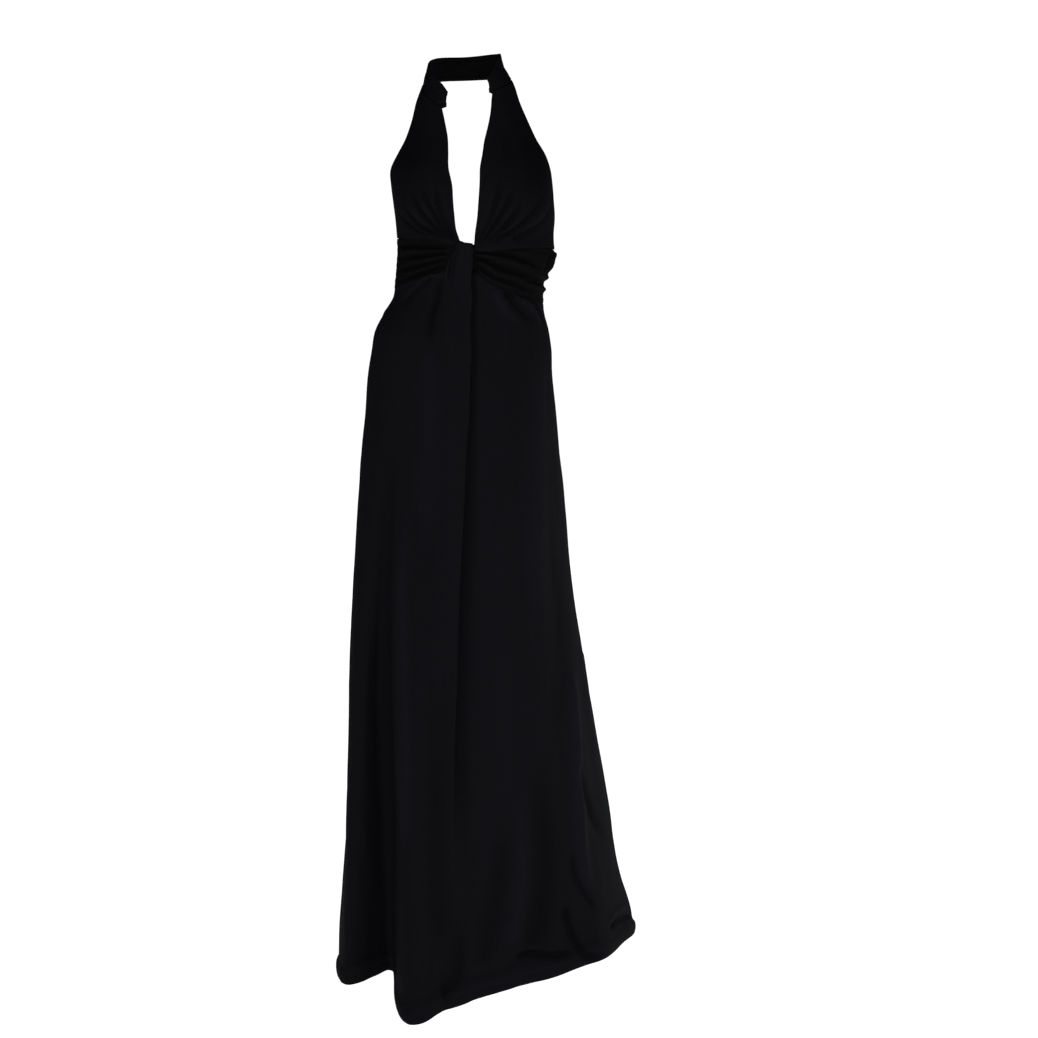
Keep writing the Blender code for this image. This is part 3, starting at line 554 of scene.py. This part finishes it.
def edge(kind):
    """The rows that finish a cloth's edge, as setback from the edge and depth inward. A tucked edge turns
    a quarter round and goes in at a seam; a lapped one goes further in and on under its neighbour; a
    turned edge goes half round and back along the inside."""
    if kind == "turned":
        turn = np.linspace(0, np.pi, 7)[1:]
        along = EDGE_ROLL + np.array(FACING_ROWS) * FACING
        back = np.concatenate((EDGE_ROLL * (1 - np.sin(turn)), along))
        return back, np.concatenate((EDGE_ROLL * (1 - np.cos(turn)), np.full(len(along), 2 * EDGE_ROLL)))
    turn = np.linspace(0, np.pi / 2, 8)[1:]
    ends_back, ends_in = SEAM_ENDS[kind]
    back = np.concatenate((EDGE_ROLL * (1 - np.sin(turn)) + SEAM_ROOM, ends_back))
    return back, np.concatenate((EDGE_ROLL * (1 - np.cos(turn)), ends_in))


def finished(places, first, last, toward=1.0):
    """Places along a cloth, with its two ends finished as edges of the given kinds: the places, how far
    each is set back from its end, and how far it goes in. Toward is -1 where the places run downwards."""
    (first_back, first_in), (last_back, last_in) = edge(first), edge(last)
    plain = np.zeros(len(places) - 2)
    first_end, last_end = np.full(len(first_back), places[0]), np.full(len(last_back), places[-1])
    place = np.concatenate((first_end, places[1:-1], last_end))
    setback = toward * np.concatenate((first_back[::-1], plain, -last_back))
    return place, setback, np.concatenate((first_in[::-1], plain, last_in))


def finished_rows(high, low, shares, top, foot):
    """The heights of a cloth's rows between its upper and lower edge, which are finished as the given
    kinds, and how far each row goes in."""
    (top_back, top_in), (foot_back, foot_in) = edge(top), edge(foot)
    start = high - EDGE_ROLL - SEAM_ROOM * (top != "turned")
    stop = low + EDGE_ROLL + SEAM_ROOM * (foot != "turned")
    main = start + (stop - start) * shares[:, None]
    height = np.concatenate((high - top_back[::-1, None], main, low + foot_back[:, None]))
    return height, np.concatenate((top_in[::-1], np.zeros(len(shares)), foot_in))[:, None]


def set_back(place, setback, height):
    """The angles of the columns at each height, moved round the form by their setback in metres."""
    return place + setback / per_degree(np.broadcast_to(place, height.shape), height)


def arc_length(points, axis):
    """How far along the grid each point is, in metres, summed over the steps of that axis."""
    steps = np.linalg.norm(np.diff(points, axis=axis), axis=-1)
    start = np.zeros_like(np.take(steps, [0], axis=axis))
    return np.concatenate((start, np.cumsum(steps, axis=axis)), axis=axis)


def shell(name, shape, material, turned):
    """A thin cloth from a grid of points, rows downwards and columns round the body, turned where its
    columns run toward the dress's right. Its own map, named cloth, holds the metres across the cloth from its
    middle column and the metres down it, and one attribute holds the painted shade of its folds, from -1,
    painted shade in a deep trough, to 1, a painted highlight on a high ridge."""
    points, lift = shape
    rows, columns = points.shape[:2]
    index = np.arange(rows * columns).reshape(rows, columns)
    corners = (index[:-1, :-1], index[1:, :-1], index[1:, 1:], index[:-1, 1:])
    quads = np.stack(corners, axis=-1).reshape(-1, 4)
    if turned:
        quads = quads[:, ::-1]
    across = arc_length(points, 1)
    across -= across[:, columns // 2][:, None]
    grain = np.stack((across, arc_length(points, 0)), axis=-1).reshape(-1, 2)
    mesh = bpy.data.meshes.new(name)
    mesh.from_pydata(points.reshape(-1, 3), [], quads.tolist())
    uv = mesh.uv_layers.new(name="cloth")
    uv.data.foreach_set("uv", grain[quads.ravel()].astype(np.float32).ravel())
    # The second part of the shape becomes painted shade in troughs and painted highlight on ridges: the
    # jersey scales its colour by this attribute
    relief_and_painted_shade = mesh.attributes.new("relief_and_painted_shade", "FLOAT", "POINT")
    relief_and_painted_shade.data.foreach_set("value", np.tanh(lift / PAINTED_SHADE_DEPTH).astype(np.float32).ravel())
    mesh.update()
    mesh.materials.append(material)
    mesh.shade_smooth()
    piece = bpy.data.objects.new(name, mesh)
    bpy.context.scene.collection.objects.link(piece)
    wall = piece.modifiers.new("cloth", "SOLIDIFY")
    wall.thickness = CLOTH
    wall.offset = 0.0
    return piece


def pleat_lift(angle, height):
    """How far the cloth on the dress's right of the crease stands off: the pleat's lift, fading with
    the angle from the crease and with the pleat's fullness."""
    full = through(height, CREASE, 2)
    faded = step((-angle - PLEAT["fade_start"]) / PLEAT["fade"])
    return PLEAT["lift"] * np.sqrt(np.clip(full, 0, 1)) * (1 - faded)


def crease_drift(place, height):
    """How many degrees the crease draws a column round at a height, less the further it is from it."""
    return through(height, CREASE, 1) * bell(place, PLEAT["drift_width"])


def deep_fold(angle, height):
    """How far the deep fold sinks in: its depth at the height times a bell of the angle from its middle."""
    away = around(angle) - through(height, DEEP_FOLD, 1)
    return np.maximum(through(height, DEEP_FOLD, 2), 0.0) * bell(away, DEEP_FOLD_WIDTH)


def skirt_rows(total):
    """The shares of a skirt panel's rows down its length, closer together at the top and at the hem."""
    return np.interp(np.linspace(0, 1, total), ROW_SHARES, LENGTH_SHARES)


def hem_shape(above_hem):
    """The stiffer hem: it kicks out at the top of its turn, and curls in slightly at its edge."""
    kick = HEM_KICK["out"] * step((HEM_TURN + HEM_KICK["above"] - above_hem) / HEM_KICK["over"])
    return kick - HEM_CURL["back"] * np.clip(1 - above_hem / HEM_CURL["over"], 0, 1) ** 2


def hem_painted_light(above_hem):
    """The painted light of the hem: a painted highlight, a bell over the height of its turn, less a painted
    shade, a bell above it.
    """
    ridge = HEM_PAINTED_HIGHLIGHT["out"] * bell(above_hem - HEM_TURN, HEM_PAINTED_HIGHLIGHT["width"])
    return ridge - HEM_PAINTED_SHADE["depth"] * bell(above_hem - HEM_PAINTED_SHADE["height"], HEM_PAINTED_SHADE["width"])


def crumple(angle, height, size):
    """The unevenness of a cloth with its sizes from their table."""
    return size["out"] * unevenness(angle, height, size["seed"], size["across"], size["along"])


def skirt_lift(angle, height, above_hem):
    """The skirt's painted shade and highlight, from its folds, its deep fold and its hem, and the whole lift
    with its unevenness.
    """
    folded = folds(angle, height, SKIRT_FOLDS)
    deep = deep_fold(angle, height)
    relief_and_painted_shade = folded - DEEP_FOLD_SHADE * deep + hem_painted_light(above_hem)
    low = np.clip(SKIRT_SWAY["hip"] - height, 0, 1)
    sway = unevenness(angle, height, SKIRT_SWAY["seed"], SKIRT_SWAY["across"], SKIRT_SWAY["along"])
    lift = folded - deep + hem_shape(above_hem)
    lift += (SKIRT_SWAY["plain"] + SKIRT_SWAY["low"] * low) * sway
    return relief_and_painted_shade, lift + crumple(angle, height, SKIRT_CRUMPLE)


def front_top(place, cut_at, flat, under):
    """The skirt front's upper edge at each column: its height, how far it stands up as the drape, and
    where the pleat's layers lie one on another. Under is the share across the pleat's cross cut, which
    starts along the drape's top and goes down to the seam."""
    over = (place > DRAPE["edge"]) & (place <= 0.0)
    seam_angle = place + crease_drift(place, through(place, MIDRIFF_FOOT, 1))
    seam = through(seam_angle, MIDRIFF_FOOT, 1)
    top = np.where(over, np.maximum(straight(place, TAB_TOP, 1), seam), seam)
    down = step((under - DRAPE["turn"]) / DRAPE["down"])
    along_top = straight(np.minimum(flat, 0), TAB_TOP, 1)
    inner = DRAPE["top"] - (DRAPE["top"] - DRAPE["foot"]) * down
    top[cut_at] = np.where(under < DRAPE["turn"], along_top, inner)
    standing = step((place - DRAPE["edge"]) / DRAPE["rise"]) * (place < 0)
    standing[cut_at] = 1 - down
    rim = DRAPE_LAYERS["rim"]
    layered = np.zeros(len(place))
    layered[cut_at] = step((under - rim) / rim) * step((1 - rim - under) / rim)
    return top, standing, layered


def pleat_fold(angle, lift, height, drift, cut_at, flat):
    """Lays the columns of the pleat's cross cut, in place: folded over the crease where the pleat is
    full, drawn out to a plain step where it is half full, and spread flat where it ends."""
    cut = np.asarray(PLEAT_CUT)
    keyed = np.column_stack((np.arange(len(cut)), cut))
    index = np.linspace(0, len(cut) - 1, len(flat))
    fold_along, fold_off, draw_along, draw_off = (through(index, keyed, c) for c in (1, 2, 3, 4))
    full = through(height, CREASE, 2)[:, cut_at]
    fold = step((full - 0.5) / 0.5)
    spread = 1 - step(full / 0.5)
    along = fold * fold_along + (1 - fold) * draw_along
    narrow = np.degrees(along * PLEAT["overlap"] / section(height)[1][:, cut_at])
    angle[:, cut_at] = drift[:, cut_at] + (1 - spread) * narrow + spread * flat
    off = fold * fold_off + (1 - fold) * draw_off
    slope = np.clip(0.5 - flat / (CUT_SPAN[1] - CUT_SPAN[0]), 0, 1)
    stand = pleat_lift(-PLEAT["fade_start"], height[:, cut_at])
    lift[:, cut_at] = stand * ((1 - spread) * off + spread * slope)


def crease_shade(place, height, cut_at, under):
    """The shade beside the crease: full under the pleat's layers, and beyond them a bell of the distance
    from the cut's end, wider lower down, fading with the pleat's fullness."""
    wider = step((SHADE_REACH["height"] - height) / SHADE_REACH["over"])
    reach = SHADE_REACH["degrees"] + SHADE_REACH["more"] * wider
    beside = np.where(place > CUT_SPAN[1], bell(place - CUT_SPAN[1], reach), 0.0)
    beside[:, cut_at] = step((under - PLEAT_SHADE["layer"]) / PLEAT_SHADE["layer_over"])
    return PLEAT_SHADE["depth"] * beside * step(through(height, CREASE, 2) / PLEAT_SHADE["full"])


def skirt_front():
    """The front panel with its drape. Its columns go round from one side seam to the other; at the
    crease they run over, back under and on again by the pleat's cross cut, which opens out flat as the
    fullness goes. Its top rolls over the midriff at the drape and tucks into the seam elsewhere."""
    flat = np.linspace(*CUT_SPAN)
    before = np.concatenate((np.linspace(*TO_DRAPE), np.linspace(*OVER_DRAPE)))
    places = np.concatenate((before, flat, np.linspace(*TO_SIDE)))
    place, setback, inward = finished(places, "lapped", "lapped")
    first = len(edge("lapped")[0]) + len(before) - 1
    cut_at = np.arange(first, first + len(flat))
    under = np.linspace(0, 1, len(flat))
    top, standing, layered = front_top(place, cut_at, flat, under)

    _, _, hem_height = hem_place(place)
    roll_high = DRAPE["roll"] * standing + EDGE_ROLL * (1 - standing)
    quarter = np.linspace(np.pi / 2, 0, 8)[:-1]
    over_back, over_in = 1 - np.sin(quarter), 1 - np.cos(quarter)
    hem_back, hem_in = edge("turned")
    start = top - SEAM_ROOM * (1 - standing) - roll_high
    main = start + (hem_height + EDGE_ROLL - start) * skirt_rows(FRONT_ROWS)[:, None]
    high = start + roll_high - roll_high * over_back[:, None]
    height = np.concatenate((high, main, hem_height + hem_back[:, None]))
    turned_top = np.concatenate((over_in, np.zeros(len(height) - len(over_in))))
    turned_low = np.concatenate((np.zeros(len(height) - len(hem_in)), hem_in))

    drift = crease_drift(place, height)
    angle = place + drift
    lift = pleat_lift(np.broadcast_to(place, height.shape), height)
    lift = np.where(place > CUT_SPAN[1], 0.0, lift)
    pleat_fold(angle, lift, height, drift, cut_at, flat)
    angle = set_back(angle, setback, height)

    edge_lift = lift[len(over_in)]
    inward_top = standing * (edge_lift - DRAPE["off"]) + (1 - standing) * (edge_lift + SKIRT_TUCK)
    inward_top = inward_top * (1 - layered) + DRAPE_LAYERS["off"] * layered
    relief_and_painted_shade, folded = skirt_lift(angle, height, np.clip(height - hem_height, 0, None))
    lift = lift + folded - turned_top[:, None] * inward_top - turned_low[:, None] - inward
    # The second result is painted shade and highlight: the folds' and the hem's, less the painted shade
    # beside the crease
    return form(angle, height, lift), relief_and_painted_shade - crease_shade(place, height, cut_at, under)


def skirt_back():
    """The plain back panel, from the dress's left side seam round to the right one."""
    place, setback, inward = finished(np.linspace(*BACK_COLUMNS), "tucked", "tucked")
    top = through(around(place), MIDRIFF_FOOT, 1)
    _, _, hem_height = hem_place(place)
    height, deep = finished_rows(top, hem_height, skirt_rows(BACK_ROWS), "tucked", "turned")
    angle = set_back(place, setback, height)
    relief_and_painted_shade, lift = skirt_lift(angle, height, np.clip(height - hem_height, 0, None))
    # The second result is the painted shade and highlight of its folds and its hem
    return form(angle, height, lift - deep - inward), relief_and_painted_shade


def midriff(first, last, columns, rows, ruche, first_kind, last_kind):
    """A part of the midriff between two angles. Its ruches are the folds of the table, with finer waves
    over its height that draw together where the band narrows, and all fade at its seams."""
    place, setback, inward = finished(np.linspace(first, last, columns), first_kind, last_kind)
    top = through(around(place), MIDRIFF_TOP, 1)
    foot = through(around(place), MIDRIFF_FOOT, 1)
    height, deep = finished_rows(top, foot, np.linspace(0, 1, rows), "lapped", "lapped")
    angle = set_back(place, setback, height)
    down = np.clip((top - height) / (top - foot), 0, 1)
    sway = RUCHES["sway"] * np.sin(np.radians(RUCHES["sway_rate"] * angle))
    flutter = RUCHES["flutter"] * np.sin(np.radians(RUCHES["flutter_rate"] * angle))
    wave = np.sin(2 * np.pi * (RUCHES["count"] * down + sway + flutter) + RUCHES["drift"] * angle)
    rim = step(down / RUCHES["rim"]) * step((1 - down) / RUCHES["rim"])
    # The ruches' lift is also the painted shade and painted highlight that the shell keeps for the jersey's
    # colour
    relief_and_painted_shade = (folds(around(angle), height, MIDRIFF_FOLDS) + ruche * wave) * rim
    lift = relief_and_painted_shade + crumple(angle, height, MIDRIFF_CRUMPLE)
    return form(angle, height, lift - deep - inward), relief_and_painted_shade


def midriff_seam(angle):
    """The height of the seam between a bodice panel and the midriff."""
    return through(around(angle), MIDRIFF_TOP, 1)


def band_foot(angle):
    """The height of the seam between a bodice panel and the neckband."""
    turned = np.asarray(angle, float)
    return through(np.where(turned > 0, 360.0 - turned, -turned), [(-a, low) for a, low, _ in NECKBAND], 1)


def panel_place(keyed, across, down):
    """The angle and height on a halter panel, from the share across it and the share down it. Between
    the two edges' places the angle crowds toward the V, by a share of the square of the share across,
    and the height falls by a power that bends the columns out lower down. Toward its two ends the panel
    follows the seams."""
    inner_angle, inner_height, outer_angle, outer_height = (through(down, keyed, c) for c in (1, 2, 3, 4))
    outer_height = np.maximum(outer_height, midriff_seam(outer_angle))
    inner_height = np.maximum(inner_height, midriff_seam(inner_angle))
    crowding = PANEL_FAN["crowding"] * step((down - PANEL_FAN["crowd_from"]) / (1 - PANEL_FAN["crowd_from"]))
    crowded = across * (1 - crowding) + across ** 2 * crowding
    angle = inner_angle + (outer_angle - inner_angle) * crowded
    at_foot = step((down - PANEL_FAN["foot"]) / PANEL_FAN["foot_over"])
    at_band = step(1 - down / PANEL_FAN["band"])
    falling = 1 - (1 - crowded) ** (1 - PANEL_FAN["bend"] * at_foot)
    height = inner_height + (outer_height - inner_height) * falling
    for seam, share in ((band_foot, at_band), (midriff_seam, at_foot)):
        ends = seam(inner_angle) + (seam(outer_angle) - seam(inner_angle)) * falling
        height = height + (seam(angle) - ends) * share
    return angle, height


def bodice(edges, columns, rows, seed):
    """A halter panel between its two edges: rows run from the V's edge to the arm's, and lower down
    to the midriff's, so that the columns fan out from the foot of the V, where the gathers start."""
    keyed = [(k, *row) for k, row in zip(np.linspace(0, 1, len(edges)), edges)]
    shares = 1 - (1 - np.linspace(0, 1, rows)) ** PANEL_ROWS["power"]
    down, up, deep = (row[:, None] for row in finished(shares, "tucked", "tucked", -1.0))
    plain = np.linspace(0, 1, 60)[None, :]
    length = arc_length(form(*panel_place(keyed, plain, down)), 1)[:, -1:]

    back, inward = edge("turned")
    seam_back, seam_in = edge("tucked")
    sewn = step((down - PANEL_ROWS["sewn"]) / PANEL_ROWS["sewn_over"])
    outer_back = back * (1 - sewn) + seam_back * sewn
    outer_in = inward * (1 - sewn) + seam_in * sewn
    roll = (EDGE_ROLL + SEAM_ROOM * sewn) / length
    inner_roll = EDGE_ROLL / length
    middle = inner_roll + (1 - roll - inner_roll) * np.linspace(0, 1, columns)
    across = np.concatenate((back[::-1] / length, middle, 1 - outer_back / length), axis=1)
    inner_in = np.broadcast_to(inward[::-1], (len(down), len(back)))
    inward_all = np.concatenate((inner_in, np.zeros((len(down), columns)), outer_in), axis=1)
    angle, height = panel_place(keyed, across, down)
    height = height + up

    at_foot = step((down - PANEL_GATHERS["foot"]) / PANEL_GATHERS["over"])
    sway = PANEL_GATHERS["sway"] * np.sin(PANEL_GATHERS["sway_rate"] * across + seed)
    gathers = PANEL_GATHERS["out"] * np.sin(2 * np.pi * PANEL_GATHERS["count"] * (across + sway)) * at_foot
    rim = step(across / PANEL_RIM["inner"]) * step((1 - across) / PANEL_RIM["outer"])
    rim = rim * step((height - midriff_seam(angle)) / PANEL_RIM["seam"])
    # The folds' lift is also the painted shade and painted highlight that the shell keeps for the jersey's
    # colour
    relief_and_painted_shade = folds(angle, height, CUP_FOLDS) * rim
    lift = relief_and_painted_shade + (gathers + crumple(angle, height, dict(BODICE_CRUMPLE, seed=seed))) * rim
    return form(angle, height, lift - inward_all - deep), relief_and_painted_shade


def neckband(columns, rows):
    """The band round the neck, between its lower and upper edge, on the same form as the panels."""
    places = np.linspace(NECKBAND[0][0], NECKBAND[-1][0], columns)
    place, setback, inward = finished(places, "turned", "turned", -1.0)
    keyed = [(-a, low, high) for a, low, high in NECKBAND]
    low, high = through(-place, keyed, 1), through(-place, keyed, 2)
    height, deep = finished_rows(high, low, np.linspace(0, 1, rows), "turned", "lapped")
    angle = set_back(place, setback, height)
    lift = crumple(angle, height, BAND_CRUMPLE)
    # Its crumple is also the painted shade and painted highlight that the shell keeps for the jersey's colour
    return form(angle, height, lift - deep - inward), lift


def nodes_of(material):
    """Empties a material's node tree, and returns a short way to add a node with its values and links."""
    material.use_nodes = True
    tree = material.node_tree
    tree.nodes.clear()

    def add(kind, values=None, **settings):
        node = tree.nodes.new(kind)
        for key, value in settings.items():
            setattr(node, key, value)
        for key, value in (values or {}).items():
            if isinstance(value, bpy.types.NodeSocket):
                tree.links.new(value, node.inputs[key])
            else:
                node.inputs[key].default_value = value
        return node

    return add


def jersey(name, tone, sheen):
    """Black knitted jersey. Over the cloth's own map it has fine upright wales, each a column of small
    V-shaped loops; a nap that varies over a few millimetres and a few centimetres; and a bluish sheen."""
    material = bpy.data.materials.new(name)
    add = nodes_of(material)

    def maths(operation, a, b=0.0, c=0.0):
        return add("ShaderNodeMath", {0: a, 1: b, 2: c}, operation=operation).outputs[0]

    def noise(place, scale, detail, roughness):
        values = {"Vector": place, "Scale": scale, "Detail": detail, "Roughness": roughness}
        return add("ShaderNodeTexNoise", values).outputs["Fac"]

    grain = add("ShaderNodeUVMap", uv_map="cloth").outputs[0]
    apart = add("ShaderNodeSeparateXYZ", {0: grain})
    wale = maths("FRACT", maths("MULTIPLY", apart.outputs[0], 1 / WALE))
    side = maths("ABSOLUTE", maths("MULTIPLY_ADD", wale, 2.0, -1.0))
    course = maths("MULTIPLY_ADD", apart.outputs[1], 1 / COURSE, maths("MULTIPLY", side, KNIT["slant"]))
    loops = maths("SINE", maths("MULTIPLY", course, 2 * math.pi))
    ridge = maths("SUBTRACT", 1.0, maths("POWER", side, 2.0))
    knit = maths("ADD", maths("MULTIPLY", ridge, KNIT["ridge"]), maths("MULTIPLY", loops, KNIT["loops"]))
    place = add("ShaderNodeTexCoord").outputs["Object"]
    nap = noise(place, *NAP)
    drawn = add("ShaderNodeMapping", {"Vector": place, "Scale": STREAK_SCALE}).outputs[0]
    streaks = noise(drawn, *STREAKS)
    fuzz = noise(place, *FUZZ)

    shade = maths("MULTIPLY_ADD", knit, *SHADES["knit"])
    shade = maths("MULTIPLY", shade, maths("MULTIPLY_ADD", nap, *SHADES["nap"]))
    shade = maths("MULTIPLY", shade, maths("MULTIPLY_ADD", streaks, *SHADES["streaks"]))
    # Painted shade and painted highlight: the colour is darkened in the folds' troughs and lightened on their
    # ridges by the shell's attribute
    folded = add("ShaderNodeAttribute", attribute_name="relief_and_painted_shade", attribute_type="GEOMETRY").outputs["Fac"]
    shade = maths("MULTIPLY", shade, maths("MULTIPLY_ADD", folded, *SHADES["folds"]))
    colour = add("ShaderNodeVectorMath", {0: tone, "Scale": shade}, operation="SCALE").outputs[0]
    rough = maths("MULTIPLY_ADD", nap, *ROUGHNESS)
    height = maths("ADD", knit, maths("MULTIPLY", fuzz, KNIT["fuzz"]))
    raised = {"Height": height, "Strength": KNIT["strength"], "Distance": KNIT["height"]}
    bump = add("ShaderNodeBump", raised).outputs[0]
    shader = add("ShaderNodeBsdfPrincipled", {"Base Color": colour, "Roughness": rough, "Normal": bump})
    shader.inputs["Sheen Weight"].default_value = sheen
    for key, value in FINISH.items():
        shader.inputs[key].default_value = value
    add("ShaderNodeOutputMaterial", {"Surface": shader.outputs[0]})
    return material


def by_camera(tree, socket, light):
    """Gives a socket the strength WHITE for what the camera sees, and another for what lights the dress."""
    switch = tree.nodes.new("ShaderNodeMapRange")
    switch.inputs["To Min"].default_value = light
    switch.inputs["To Max"].default_value = WHITE
    rays = tree.nodes.new("ShaderNodeLightPath")
    tree.links.new(rays.outputs["Is Camera Ray"], switch.inputs["Value"])
    tree.links.new(switch.outputs[0], socket)


def pale_floor():
    """A wide pale floor just under the hem, which glows a little."""
    mesh = bpy.data.meshes.new("floor")
    below = -HOLD_HEIGHT - FLOOR_GAP
    corners = [(x * FLOOR_HALF, y * FLOOR_HALF, below) for x, y in ((-1, -1), (1, -1), (1, 1), (-1, 1))]
    mesh.from_pydata(corners, [], [(0, 1, 2, 3)])
    floor = bpy.data.objects.new("floor", mesh)
    bpy.context.scene.collection.objects.link(floor)
    pale = bpy.data.materials.new("pale_floor")
    pale.use_nodes = True
    shader = pale.node_tree.nodes["Principled BSDF"]
    shader.inputs["Base Color"].default_value = (0.93, 0.93, 0.93, 1.0)
    shader.inputs["Roughness"].default_value = 0.9
    shader.inputs["Emission Color"].default_value = (1.0, 1.0, 1.0, 1.0)
    by_camera(pale.node_tree, shader.inputs["Emission Strength"], FLOOR_GLOW)
    mesh.materials.append(pale)
    return floor


def white_studio():
    """The studio round the dress: white where the camera sees it, and no light of its own."""
    world = bpy.data.worlds.new("studio")
    world.use_nodes = True
    sky = world.node_tree.nodes["Background"]
    sky.inputs[0].default_value = (1.0, 1.0, 1.0, 1.0)
    by_camera(world.node_tree, sky.inputs[1], 0.0)
    bpy.context.scene.world = world


def softbox(name, place, toward, size, power, spread):
    """A square area light at a place, turned toward a point, that spreads over an angle in degrees."""
    light = bpy.data.lights.new(name, "AREA")
    light.size = size
    light.energy = power
    light.spread = math.radians(spread)
    lamp = bpy.data.objects.new(name, light)
    bpy.context.scene.collection.objects.link(lamp)
    direction = np.asarray(toward, float) - np.asarray(place, float)
    level = math.hypot(direction[0], direction[1])
    bearing = math.atan2(direction[1], direction[0]) - math.pi / 2
    lamp.location = place
    lamp.rotation_euler = (math.atan2(level, -direction[2]), 0.0, bearing)
    lamp.visible_camera = False


# One black jersey in three tones: the midriff's darker tone is painted shade of its tight ruches, and the
# bodice's, a little darker than the skirt's, is painted shade too
JERSEYS = [
    # slot, tone, sheen
    ("bodice_jersey", (0.0059, 0.0061, 0.0075), 0.003),
    ("midriff_jersey", (0.0040, 0.0041, 0.0048), 0.002),
    ("skirt_jersey", (0.0068, 0.0070, 0.0094), 0.005),
]
cloths = {slot: jersey(slot, tone, sheen) for slot, tone, sheen in JERSEYS}

pieces = [
    # node, slot, shape, turned, flat width and length, cut area, held, hangs from
    ("skirt_front", "skirt_jersey", skirt_front(), False,
     (0.92, 1.25), 0.74, "hung", ["midriff_right", "midriff_left"]),
    ("skirt_back", "skirt_jersey", skirt_back(), False,
     (0.80, 1.17), 0.62, "hung", ["midriff_back"]),
    ("midriff_right", "midriff_jersey", midriff(-90.0, -8.0, 120, 62, 0.0003, "lapped", "tucked"), False,
     (0.13, 0.105), None, "gathered", ["bodice_right"]),
    ("midriff_left", "midriff_jersey", midriff(-3.5, 90.0, 134, 62, 0.0003, "tucked", "lapped"), False,
     (0.15, 0.11), None, "gathered", ["bodice_left"]),
    ("midriff_back", "midriff_jersey", midriff(90.0, 270.0, 160, 40, 0.0002, "tucked", "tucked"), False,
     (0.36, 0.095), None, "hung", ["bodice_right", "bodice_left"]),
    ("bodice_right", "bodice_jersey", bodice(RIGHT_PANEL, 170, 130, 41), True,
     (0.27, 0.29), 0.044, "gathered", ["neckband"]),
    ("bodice_left", "bodice_jersey", bodice(LEFT_PANEL, 170, 130, 42), False,
     (0.30, 0.29), 0.052, "gathered", ["neckband"]),
    ("neckband", "bodice_jersey", neckband(260, 20), True,
     (0.37, 0.047), None, "hung", []),
]
for node, slot, shape, turned, flat, area, held, rests_on in pieces:
    piece = shell(node + "_cloth", shape, cloths[slot], turned)
    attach(piece, "root")
    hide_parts(node)

# The camera, at the photograph's place
camera = bpy.data.objects.new("camera", bpy.data.cameras.new("camera"))
bpy.context.scene.collection.objects.link(camera)
camera.location = CAMERA_PLACE
camera.rotation_euler = (math.radians(CAMERA_TILT), 0.0, 0.0)
camera.data.lens = FOCAL_PIXELS / PHOTO_WIDTH * SENSOR
camera.data.sensor_width = SENSOR
bpy.context.scene.camera = camera

# The floor and the light: floor and studio are white where the camera sees them
pale_floor()
white_studio()

SOFTBOXES = [
    # name, place, toward, size, power, spread
    ("front", (0.2, -4.2, -0.60), (0.0, 0.0, -0.80), 2.0, 12.0, 120.0),
    ("left_front", (-2.2, -2.4, -1.10), (0.0, 0.0, -1.10), 1.4, 9.6, 100.0),
    ("right_front", (2.2, -2.6, -0.80), (0.0, 0.0, -0.80), 1.4, 4.6, 100.0),
    ("high_front", (0.3, -2.6, 1.2), (0.05, 0.0, -0.5), 1.2, 4.6, 100.0),
    ("back", (0.0, 4.2, -0.60), (0.0, 0.0, -0.80), 2.0, 7.0, 120.0),
    ("right_side", (1.9, -0.2, -1.05), (0.10, 0.0, -1.05), 0.9, 1.05, 60.0),
    ("right_rear", (1.7, 1.1, -0.95), (0.20, 0.0, -0.95), 0.9, 0.65, 60.0),
]
for box in SOFTBOXES:
    softbox(*box)

bpy.context.scene.view_settings.view_transform = "Standard"
